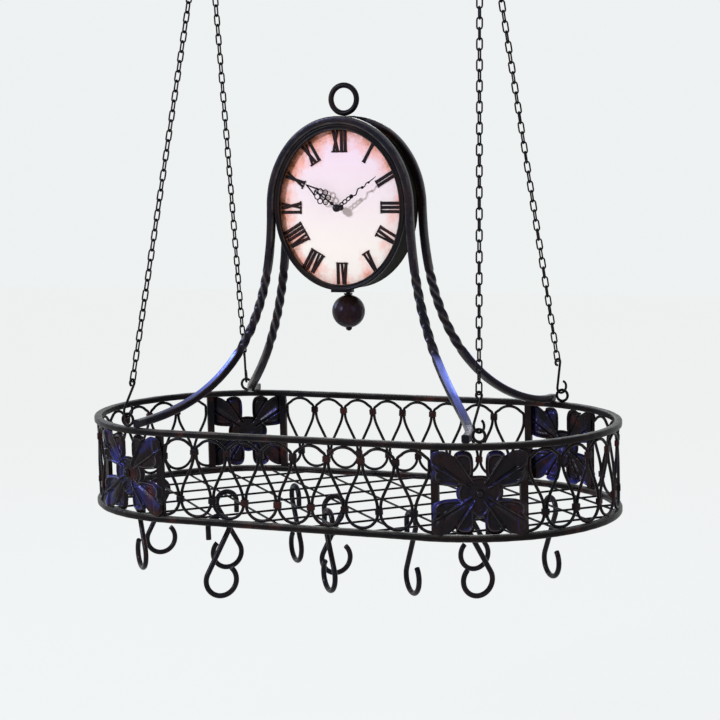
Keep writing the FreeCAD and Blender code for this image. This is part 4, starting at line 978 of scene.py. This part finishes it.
rivet_iron = forged_iron("rivet_iron", rust_share=0.45, gloss=0.22, shine=0.6, dents=0.15, dent_size=0.004)
dome = [(0, 0), (5.6, 0), (5.6, 0.8), (5.2, 1.2)]
for t in (math.radians(degrees) for degrees in (12, 24, 36, 48, 60, 70, 80)):
    dome.append((4.9 * math.cos(t), 1.2 + 3.9 * math.sin(t)))
dome += [(0, 5.1)]
rivets = []
for sx in (1, -1):
    for sy in (1, -1):
        foot, direction, outward = wall_place(PANEL_MID, 0.0052)
        foot = Vector((sx * foot.x, sy * foot.y, (RIM_TOP + RIM_BOTTOM) / 2))
        outward = Vector((sx * outward.x, sy * outward.y, 0))
        rivet = new_object("rivet", lathe("rivet", [(r / 1000, h / 1000) for r, h in dome]), rivet_iron)
        rivet.data.transform(Matrix.Translation(foot) @ outward.to_track_quat("Z", "Y").to_matrix().to_4x4())
        rivets.append(rivet)
hand_over(join_into("rivets", rivets), "basket", ["panel_rivets"])

# %% [markdown]
# ## Clock dial
#
# The dial is off-white card, stained rust-red and brown towards its rim, with painted light that turns
# it lavender towards the top. A painted picture could hold the stains, but they are made as a rule: how
# far a point lies from the middle, made ragged by noise, decides how deep it lies in each of three stains.

# %% Stained dial card
DIAL_A, DIAL_B = BEZEL_A - 0.008, BEZEL_B - 0.008


def dial_card(name):
    material, graph, shader, place = new_finish(name)
    moved = add(graph, "ShaderNodeMapping", {"Vector": place, "Location": (0, 0, -CLOCK_Z / DIAL_B),
                                             "Scale": (1 / DIAL_A, 0.0, 1 / DIAL_B)})
    far = add(graph, "ShaderNodeVectorMath", {0: moved.outputs[0]}, operation="LENGTH").outputs["Value"]
    split = add(graph, "ShaderNodeSeparateXYZ", {0: moved.outputs[0]})
    corner = add(graph, "ShaderNodeVectorMath", {0: moved.outputs[0], 1: (-0.055, 0, 0.055)},
                 operation="DOT_PRODUCT")
    around = sum_of(graph, "MULTIPLY", sum_of(graph, "ARCTAN2", split.outputs[0], split.outputs[2]), 12.0)
    halo = sum_of(graph, "MULTIPLY", sum_of(graph, "COSINE", around), 0.045)
    cloud = noise(graph, place, 42.0, 6.0, 0.65)
    blot = noise(graph, place, 130.0, 5.0, 0.7)

    def stain(pattern, amount, begin, end, strength):
        """Grows from nothing at begin to full at end, counted from the middle out to the bezel at 1."""
        ragged = sum_of(graph, "MULTIPLY", sum_of(graph, "SUBTRACT", pattern, 0.5), amount)
        uneven = sum_of(graph, "ADD", halo, corner.outputs["Value"])
        ragged = sum_of(graph, "ADD", sum_of(graph, "ADD", far, ragged), uneven)
        return fade(graph, ragged, begin, end, end=strength)

    # Painted light: the card turns lavender towards the top, as cool light from above tints it.
    coat = blend(graph, fade(graph, split.outputs[2], -0.5, 0.8), (0.90, 0.88, 0.86, 1), (0.84, 0.70, 0.87, 1))
    coat = blend(graph, stain(cloud, 0.95, 0.74, 1.04, 0.85), coat, (0.90, 0.40, 0.34, 1))
    coat = blend(graph, stain(blot, 0.55, 0.90, 1.08, 0.85), coat, (0.50, 0.17, 0.06, 1))
    coat = blend(graph, stain(blot, 0.5, 1.0, 1.16, 0.95), coat, (0.075, 0.025, 0.008, 1))
    graph.links.new(coat, shader.inputs["Base Color"])
    paper = add(graph, "ShaderNodeBump", {"Strength": 0.15, "Distance": 0.0002, "Height": blot})
    graph.links.new(paper.outputs[0], shader.inputs["Normal"])
    graph.links.new(fade(graph, cloud, 0.0, 1.0, 0.55, 0.8), shader.inputs["Roughness"])
    return material


def dress(node, material):
    """Gives a CAD node a finish."""
    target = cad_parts[node]
    target.data.materials.clear()
    target.data.materials.append(material)


dress("clock_dial", dial_card("dial_card"))

# %% [markdown]
# ### Numerals
#
# The numerals are thick slab strokes that run out to the bezel. A font's letters would be thinner and
# upright, so each stroke is a small block with a bevelled front, and every numeral is turned to stand
# on the dial's middle.

# %% Slab numerals
numeral_black = forged_iron("numeral_black", dark=(0.012, 0.009, 0.010), brown=(0.03, 0.012, 0.010),
                            rust_share=0.35, rust=(0.10, 0.02, 0.015), dents=0.1, gloss=0.45)
DIAL_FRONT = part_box("clock_dial")[0][1]
NUMERAL_TALL = 0.030
STROKE = 0.0042


def slab(shape, start, end, width, depth=0.0018):
    """One stroke between two (across, up) points, with a bevelled front."""
    start, end = Vector(start), Vector(end)
    way = (end - start).normalized()
    side = Vector((way.y, -way.x)) * width / 2
    corners = [start - side, end - side, end + side, start + side]
    inner = [start - side * 0.7 + way * 0.0004, end - side * 0.7 - way * 0.0004,
             end + side * 0.7 - way * 0.0004, start + side * 0.7 + way * 0.0004]
    back = [shape.verts.new((c.x, 0, c.y)) for c in corners]
    edge = [shape.verts.new((c.x, -depth * 0.6, c.y)) for c in corners]
    front = [shape.verts.new((c.x, -depth, c.y)) for c in inner]
    shape.faces.new(front)
    shape.faces.new(list(reversed(back)))
    for low, high in ((back, edge), (edge, front)):
        for k in range(4):
            shape.faces.new([low[k], low[(k + 1) % 4], high[(k + 1) % 4], high[k]])


def glyph_strokes(text):
    """Strokes of a numeral standing on its inner end; the V's point looks outwards."""
    wide = {"I": 1.35 * STROKE, "V": 2.9 * STROKE, "X": 2.9 * STROKE}
    x = -sum(wide[letter] for letter in text) / 2
    strokes = []
    for letter in text:
        w = wide[letter]
        m, lean = x + w / 2, (w - 1.35 * STROKE) / 2
        top = NUMERAL_TALL
        foot = 0.0026 if letter == "I" else 0.0030
        ends = {"I": [m], "V": [m - lean, m + lean], "X": [m - lean, m + lean]}[letter]
        strokes += [((e - foot, 0.0010), (e + foot, 0.0010), 0.0020) for e in ends]
        if letter == "I":
            strokes.append(((m, 0), (m, top), STROKE))
        if letter == "V":
            strokes += [((m - lean, 0), (m - 0.0006, top), STROKE),
                        ((m + lean, 0), (m + 0.0010, top), STROKE * 0.75)]
        if letter == "X":
            strokes += [((m - lean, 0), (m + lean, top), STROKE * 0.75),
                        ((m + lean, 0), (m - lean, top), STROKE)]
        x += w
    return strokes


print("strokes of VIII:", len(glyph_strokes("VIII")))

# %% Twelve numerals round the dial
shape = bmesh.new()
a, b = DIAL_A - 0.0005, DIAL_B - 0.0005
for hour, text in enumerate(["XII", "I", "II", "III", "IV", "V", "VI", "VII", "VIII", "IX", "X", "XI"]):
    turn = math.radians(30 * hour)
    reach = a * b / math.hypot(b * math.sin(turn), a * math.cos(turn))
    glyph = bmesh.new()
    for k, (start, end, width) in enumerate(glyph_strokes(text)):
        slab(glyph, start, end, width, 0.0018 + 0.00004 * k)
    place = (Matrix.Translation((0, DIAL_FRONT, CLOCK_Z)) @ Matrix.Rotation(turn, 4, "Y")
             @ Matrix.Translation((0, 0, reach - NUMERAL_TALL)))
    bmesh.ops.transform(glyph, matrix=place, verts=glyph.verts)
    part = bpy.data.meshes.new("glyph")
    glyph.to_mesh(part)
    glyph.free()
    shape.from_mesh(part)
bmesh.ops.recalc_face_normals(shape, faces=shape.faces[:])
numerals_mesh = bpy.data.meshes.new("numerals")
shape.to_mesh(numerals_mesh)
shape.free()
hand_over(new_object("numerals", numerals_mesh, numeral_black), "basket", ["dial_numerals"])


# %% [markdown]
# ### Bezel and drum
#
# A moulded oval frame holds the dial, and behind it a deep drum closes the gap between the two arches.
# Each is one section carried round the same oval, so one rule sweeps a section round the oval. The section's
# points also say where the black is rubbed through, and where a highlight is painted along the bead and
# the drum's front edge.


# %% Moulded bezel and drum
def face_outwards(mesh):
    """Points every face of a closed mesh outwards."""
    shape = bmesh.new()
    shape.from_mesh(mesh)
    bmesh.ops.recalc_face_normals(shape, faces=shape.faces[:])
    shape.to_mesh(mesh)
    shape.free()


def moulding(name, half_wide, half_tall, back, profile, around=180):
    """An oval frame swept from (inset, forward, wear and painted highlight) points in millimetres."""
    mesh = bpy.data.meshes.new(name)
    verts, faces, wear_and_highlight = [], [], []
    for i in range(around):
        t = 2 * math.pi * i / around
        outward = Vector((math.cos(t) / half_wide, math.sin(t) / half_tall)).normalized()
        for inset, forward, worn_highlight in profile:
            verts.append((half_wide * math.cos(t) - outward.x * inset / 1000, back - forward / 1000,
                          CLOCK_Z + half_tall * math.sin(t) - outward.y * inset / 1000))
            wear_and_highlight.append(worn_highlight)
    n = len(profile)
    for i in range(around):
        row, after = i * n, (i + 1) % around * n
        for k in range(n):
            faces.append((row + k, row + (k + 1) % n, after + (k + 1) % n, after + k))
    mesh.from_pydata(verts, [], faces)
    mesh.attributes.new("edge", "FLOAT", "POINT").data.foreach_set("value", wear_and_highlight)
    face_outwards(mesh)
    mesh.shade_smooth()
    return mesh


case_iron = forged_iron("case_iron", dark=(0.010, 0.011, 0.010), brown=(0.024, 0.023, 0.018), rust_share=0.1,
                        gloss=0.72, shine=0.12, dents=0.15, dent_size=0.02, sheen_colour=(0.9, 1.0, 0.92))
# Each section's third number is wear and painted highlight, most on the inner bead and the drum's front edge.
bezel_profile = [(0, 0, 0), (0, 2.4, 0.2), (0.5, 3.3, 0.6), (1.4, 3.9, 0.5), (2.6, 3.8, 0.1), (3.6, 3.1, 0),
                 (4.6, 2.6, 0), (5.4, 2.8, 0.1), (5.9, 3.6, 0.7), (6.7, 4.0, 0.95), (7.5, 3.6, 0.6),
                 (8.0, 2.6, 0.1), (8.0, 0, 0)]
case_low, case_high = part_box("clock_case")
deep = 1000 * (case_high[1] - case_low[1])
drum_profile = [(1.2, 0, 0), (0.3, 0.3, 0.5), (0.15, 1.2, 0.6), (0.3, 2.2, 0.4), (0.5, 3.0, 0),
                (0.5, deep / 2, 0), (0.5, deep - 3.0, 0), (0.3, deep - 2.2, 0.3), (0.3, deep, 0.2),
                (2.0, deep, 0), (2.0, 0, 0)]
for name, node, back, profile, finish in (("bezel", "clock_bezel", bezel_high[1], bezel_profile, clock_iron),
                                          ("drum", "clock_case", case_high[1], drum_profile, case_iron)):
    oval = moulding(name, BEZEL_A, BEZEL_B, back, profile)
    hand_over(new_object(name, oval, finish), "basket", [node])
dress("clock_back_cover", case_iron)

# %% [markdown]
# ### Hands
#
# The hands are pierced and delicate: thin strips bent into rings and waves. Cutting the holes out of a
# plate would need many booleans, so each strip is drawn as a line with a width. The widths as given are
# too fine, so one weight makes all the strips a third heavier.

# %% Pierced hands
LINE_WEIGHT = 1.35


def strip(shape, line, widths, closed=False, thick=0.0008, weight=LINE_WEIGHT):
    """A flat strip along (across, up) points in millimetres, lying between y = 0 and y = -thick."""
    count = len(line)
    widths = [widths] * count if isinstance(widths, (int, float)) else widths
    rows = []
    for i in range(count):
        before = line[(i - 1) % count] if closed or i else line[i]
        after = line[(i + 1) % count] if closed or i < count - 1 else line[i]
        way = (Vector(after) - Vector(before)).normalized()
        side = Vector((way.y, -way.x)) * weight * widths[i] / 2000
        spot = Vector(line[i]) / 1000
        rows.append([shape.verts.new((c.x, y, c.y)) for y in (0, -thick) for c in (spot - side, spot + side)])
    for i in range(count if closed else count - 1):
        a, b = rows[i], rows[(i + 1) % count]
        for k, m in ((0, 1), (1, 3), (3, 2), (2, 0)):
            shape.faces.new([a[k], a[m], b[m], b[k]])
    if not closed:
        for row in (rows[0], rows[-1]):
            shape.faces.new([row[0], row[1], row[3], row[2]])


def oval_line(x, y, half_wide, half_tall, count=20):
    return [(x + half_wide * math.cos(2 * math.pi * k / count), y + half_tall * math.sin(2 * math.pi * k / count))
            for k in range(count)]


def hand_piece(name, hub, angle, back, draw):
    """Draws a hand pointing up, turns it to its angle and sets it on its shaft."""
    shape = bmesh.new()
    strip(shape, oval_line(0, 0, (hub + 1.9) / 2, (hub + 1.9) / 2, 28), hub - 1.9, closed=True, weight=1.0)
    draw(shape)
    bmesh.ops.recalc_face_normals(shape, faces=shape.faces[:])
    bmesh.ops.transform(shape, verts=shape.verts, matrix=Matrix.Translation((0, back, CLOCK_Z))
                        @ Matrix.Rotation(math.radians(angle), 4, "Y"))
    mesh = bpy.data.meshes.new(name)
    shape.to_mesh(mesh)
    shape.free()
    hand_over(new_object(name, mesh, hand_black), name, [name])


print("strips are drawn %.2f times as wide as given" % LINE_WEIGHT)


# %% The two hands
def draw_hour_hand(shape):
    strip(shape, [(0, 4.5), (0, 10), (0, 16)], [1.5, 1.2, 1.5])
    strip(shape, oval_line(0, 10.5, 1.5, 2.4), 1.1, closed=True)
    for x, y, r in ((3.6, 19.5, 3.6), (-3.6, 19.5, 3.6), (7.2, 27.0, 3.6), (-7.2, 27.0, 3.6), (0, 26.5, 3.9),
                    (4.2, 34.0, 3.8), (-4.2, 34.0, 3.8)):
        strip(shape, oval_line(x, y, r, r), 1.0, closed=True)
    strip(shape, [(0, 15), (0, 24), (0, 40)], [1.4, 1.0, 1.2])
    strip(shape, [(-5.4, 38.5), (-3.0, 45.0), (0, 56.2)], [1.5, 1.5, 1.4])
    strip(shape, [(5.4, 38.5), (3.0, 45.0), (0, 56.2)], [1.5, 1.5, 1.4])
    strip(shape, [(-5.4, 38.5), (0, 41.5), (5.4, 38.5)], 1.2)
    strip(shape, [(0, 54), (0, 57)], [1.6, 0.5])


def draw_minute_hand(shape):
    for y, wide, tall in ((8.0, 2.2, 3.4), (14.4, 2.5, 3.6), (21.0, 2.3, 3.4)):
        strip(shape, oval_line(0, y, wide, tall), 1.2, closed=True)
    strip(shape, oval_line(0, 26.4, 1.3, 1.6, 12), 2.4, closed=True)
    wave = [(2.2 * math.sin((y - 28) / 18 * 2 * math.pi), y) for y in range(28, 47)]
    strip(shape, wave, 1.2)
    strip(shape, oval_line(0, 47, 0.9, 1.1, 12), 1.6, closed=True)
    strip(shape, [(1.0 * math.sin((y - 47) / 11 * 2 * math.pi), y) for y in range(47, 59)], 1.1)
    strip(shape, oval_line(0, 58.5, 0.7, 1.0, 12), 1.3, closed=True)
    strip(shape, [(0, 59), (0, 66), (0, 72)], [1.1, 0.9, 0.4])


hand_black = forged_iron("hand_black", dark=(0.006, 0.005, 0.005), rust_share=0.1, dents=0.0, gloss=0.30,
                         shine=0.4)
hand_piece("hour_hand", 5.0, 304.5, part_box("hour_hand")[0][1] + 0.0008, draw_hour_hand)
hand_piece("minute_hand", 4.2, 54.0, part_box("minute_hand")[0][1] + 0.0008, draw_minute_hand)
nut_black = forged_iron("nut_black", dark=(0.004, 0.004, 0.004), rust_share=0.0, dents=0.0, gloss=0.16,
                        shine=0.8)
dress("hand_nut", nut_black)


# %% [markdown]
# ## Chains
#
# Each chain is forty-nine plain links, every other one turned a quarter turn. Hand-placed links would
# never be evenly spaced. So one link is a round wire on a stadium-shaped line, and the tree places the
# copies down the chain's own line, each a little slack in its turn.


# %% One link
LINK_ARC = 0.0037
LINK_STRAIGHT = 0.00905
LINK_WIRE = 0.0012


def link_mesh(arc_radius, straight, wire_radius, around=8, arc_steps=8):
    """Round wire on a closed line of two straights and two half circles, hanging down from its upper end."""
    centres = []
    for lower, first_turn in ((0, 0.0), (straight, math.pi)):
        for k in range(arc_steps + 1):
            t = first_turn + math.pi * k / arc_steps
            out = Vector((math.cos(t), 0, math.sin(t)))
            centres.append((Vector((arc_radius * math.cos(t), 0, arc_radius * math.sin(t) - lower)), out))
    verts, faces = [], []
    for centre, out in centres:
        for j in range(around):
            turn = 2 * math.pi * j / around
            spot = centre + out * (wire_radius * math.cos(turn)) + Vector((0, wire_radius * math.sin(turn), 0))
            verts.append(tuple(spot))
    rings = len(centres)
    for i in range(rings):
        row, after = i * around, (i + 1) % rings * around
        for j in range(around):
            faces.append((row + j, row + (j + 1) % around, after + (j + 1) % around, after + j))
    mesh = bpy.data.meshes.new("link")
    mesh.from_pydata(verts, [], faces)
    face_outwards(mesh)
    return mesh


print("link %.2f mm long, wire %.1f mm" % (1000 * (LINK_STRAIGHT + 2 * LINK_ARC + 2 * LINK_WIRE), 2000 * LINK_WIRE))

# %% Tree for a chain
chain_tree, entry, leave = start_tree("chain", {
    "Count": "Int", "Step": "Float", "Slack Turn": "Float", "Seed": "Int", "Finish": "Material"})
row = add(chain_tree, "GeometryNodeMeshLine", {
    "Count": entry.outputs["Count"],
    "Offset": add(chain_tree, "ShaderNodeCombineXYZ",
                  {2: sum_of(chain_tree, "MULTIPLY", entry.outputs["Step"], -1.0)}).outputs[0]})
number = add(chain_tree, "GeometryNodeInputIndex").outputs[0]
quarter = sum_of(chain_tree, "MULTIPLY", sum_of(chain_tree, "MODULO", number, 2.0), math.pi / 2)
slack = add(chain_tree, "FunctionNodeRandomValue", {2: -1.0, 3: 1.0, "Seed": entry.outputs["Seed"]},
            data_type="FLOAT")
slack = sum_of(chain_tree, "MULTIPLY", slack.outputs[1], entry.outputs["Slack Turn"])
turn = sum_of(chain_tree, "ADD", quarter, slack)
copies = add(chain_tree, "GeometryNodeInstanceOnPoints", {
    "Points": row.outputs[0], "Instance": entry.outputs["Geometry"],
    "Rotation": add(chain_tree, "ShaderNodeCombineXYZ", {2: turn}).outputs[0]})
finish_tree(chain_tree, copies.outputs[0], entry, leave)

# %% Four chains
LINKS = 49
LINK_STEP = 0.0140
RING_HANG, RING_SPLAY = 0.016, math.radians(15)
eye_turn = PANEL_PAST_STRAIGHT / WALL_RADIUS
EYE_CONTACT = Vector((STRAIGHT + WALL_RADIUS * math.sin(eye_turn), WALL_RADIUS * math.cos(eye_turn),
                      RIM_TOP + 0.0177))
ring_low, ring_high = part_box("top_ring_right")
seat = Vector(((ring_low[0] + ring_high[0]) / 2, RING_HANG * math.sin(RING_SPLAY),
               (ring_low[2] + ring_high[2]) / 2 - RING_HANG * math.cos(RING_SPLAY)))
for number, (corner, sx, sy) in enumerate((("front_right", 1, -1), ("front_left", -1, -1), ("back_right", 1, 1),
                                           ("back_left", -1, 1))):
    top, eye = (Vector((sx * p.x, sy * p.y, p.z)) for p in (seat, EYE_CONTACT))
    down = (eye - top).normalized()
    cross = (Vector((1, 0, 0)) - down * down.x).normalized()
    other = (-down).cross(cross)
    start = top + down * 0.0004
    piece = grow("links_" + corner, link_mesh(LINK_ARC, LINK_STRAIGHT, LINK_WIRE), chain_tree, {
        "Count": LINKS, "Step": LINK_STEP, "Slack Turn": 0.10, "Seed": number, "Finish": chain_iron})
    piece.data.transform(Matrix([*zip(cross, other, -down, start), (0, 0, 0, 1)]))
    hand_over(piece, "right_chains" if sx > 0 else "left_chains", ["chain_" + corner])

# %% [markdown]
# ## Pieces that keep their CAD shape
#
# Hooks, rings, floor rods and the small clock parts already have the right shape. Making them again
# would only risk moving them, so they keep their CAD mesh and get their finish.

# %% Finishes for the CAD nodes that stay
plastic, graph, shader, place = new_finish("movement_plastic")
speck = add(graph, "ShaderNodeTexNoise", {"Vector": place, "Scale": 900.0}).outputs["Fac"]
graph.links.new(blend(graph, speck, (0.02, 0.02, 0.021, 1), (0.035, 0.035, 0.037, 1)), shader.inputs["Base Color"])
shader.inputs["Roughness"].default_value = 0.5

finishes = {"floor_rods": rod_iron, "upright_bars": iron, "cross_plate": clock_iron,
            "carry_ring": clock_iron, "clock_movement": plastic, "battery": plastic, "setting_knob": plastic,
            "drop_plate": clock_iron, "finial_stem": clock_iron, "finial_ball": ball_iron, "rim_eyes": chain_iron,
            "chain_hook": chain_iron, "top_ring": chain_iron, "ceiling_hook": chain_iron, "pot_hook": hook_iron}
finished = 0
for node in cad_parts:
    for start, material in finishes.items():
        if node.startswith(start):
            dress(node, material)
            finished += 1
print("CAD nodes finished:", finished)
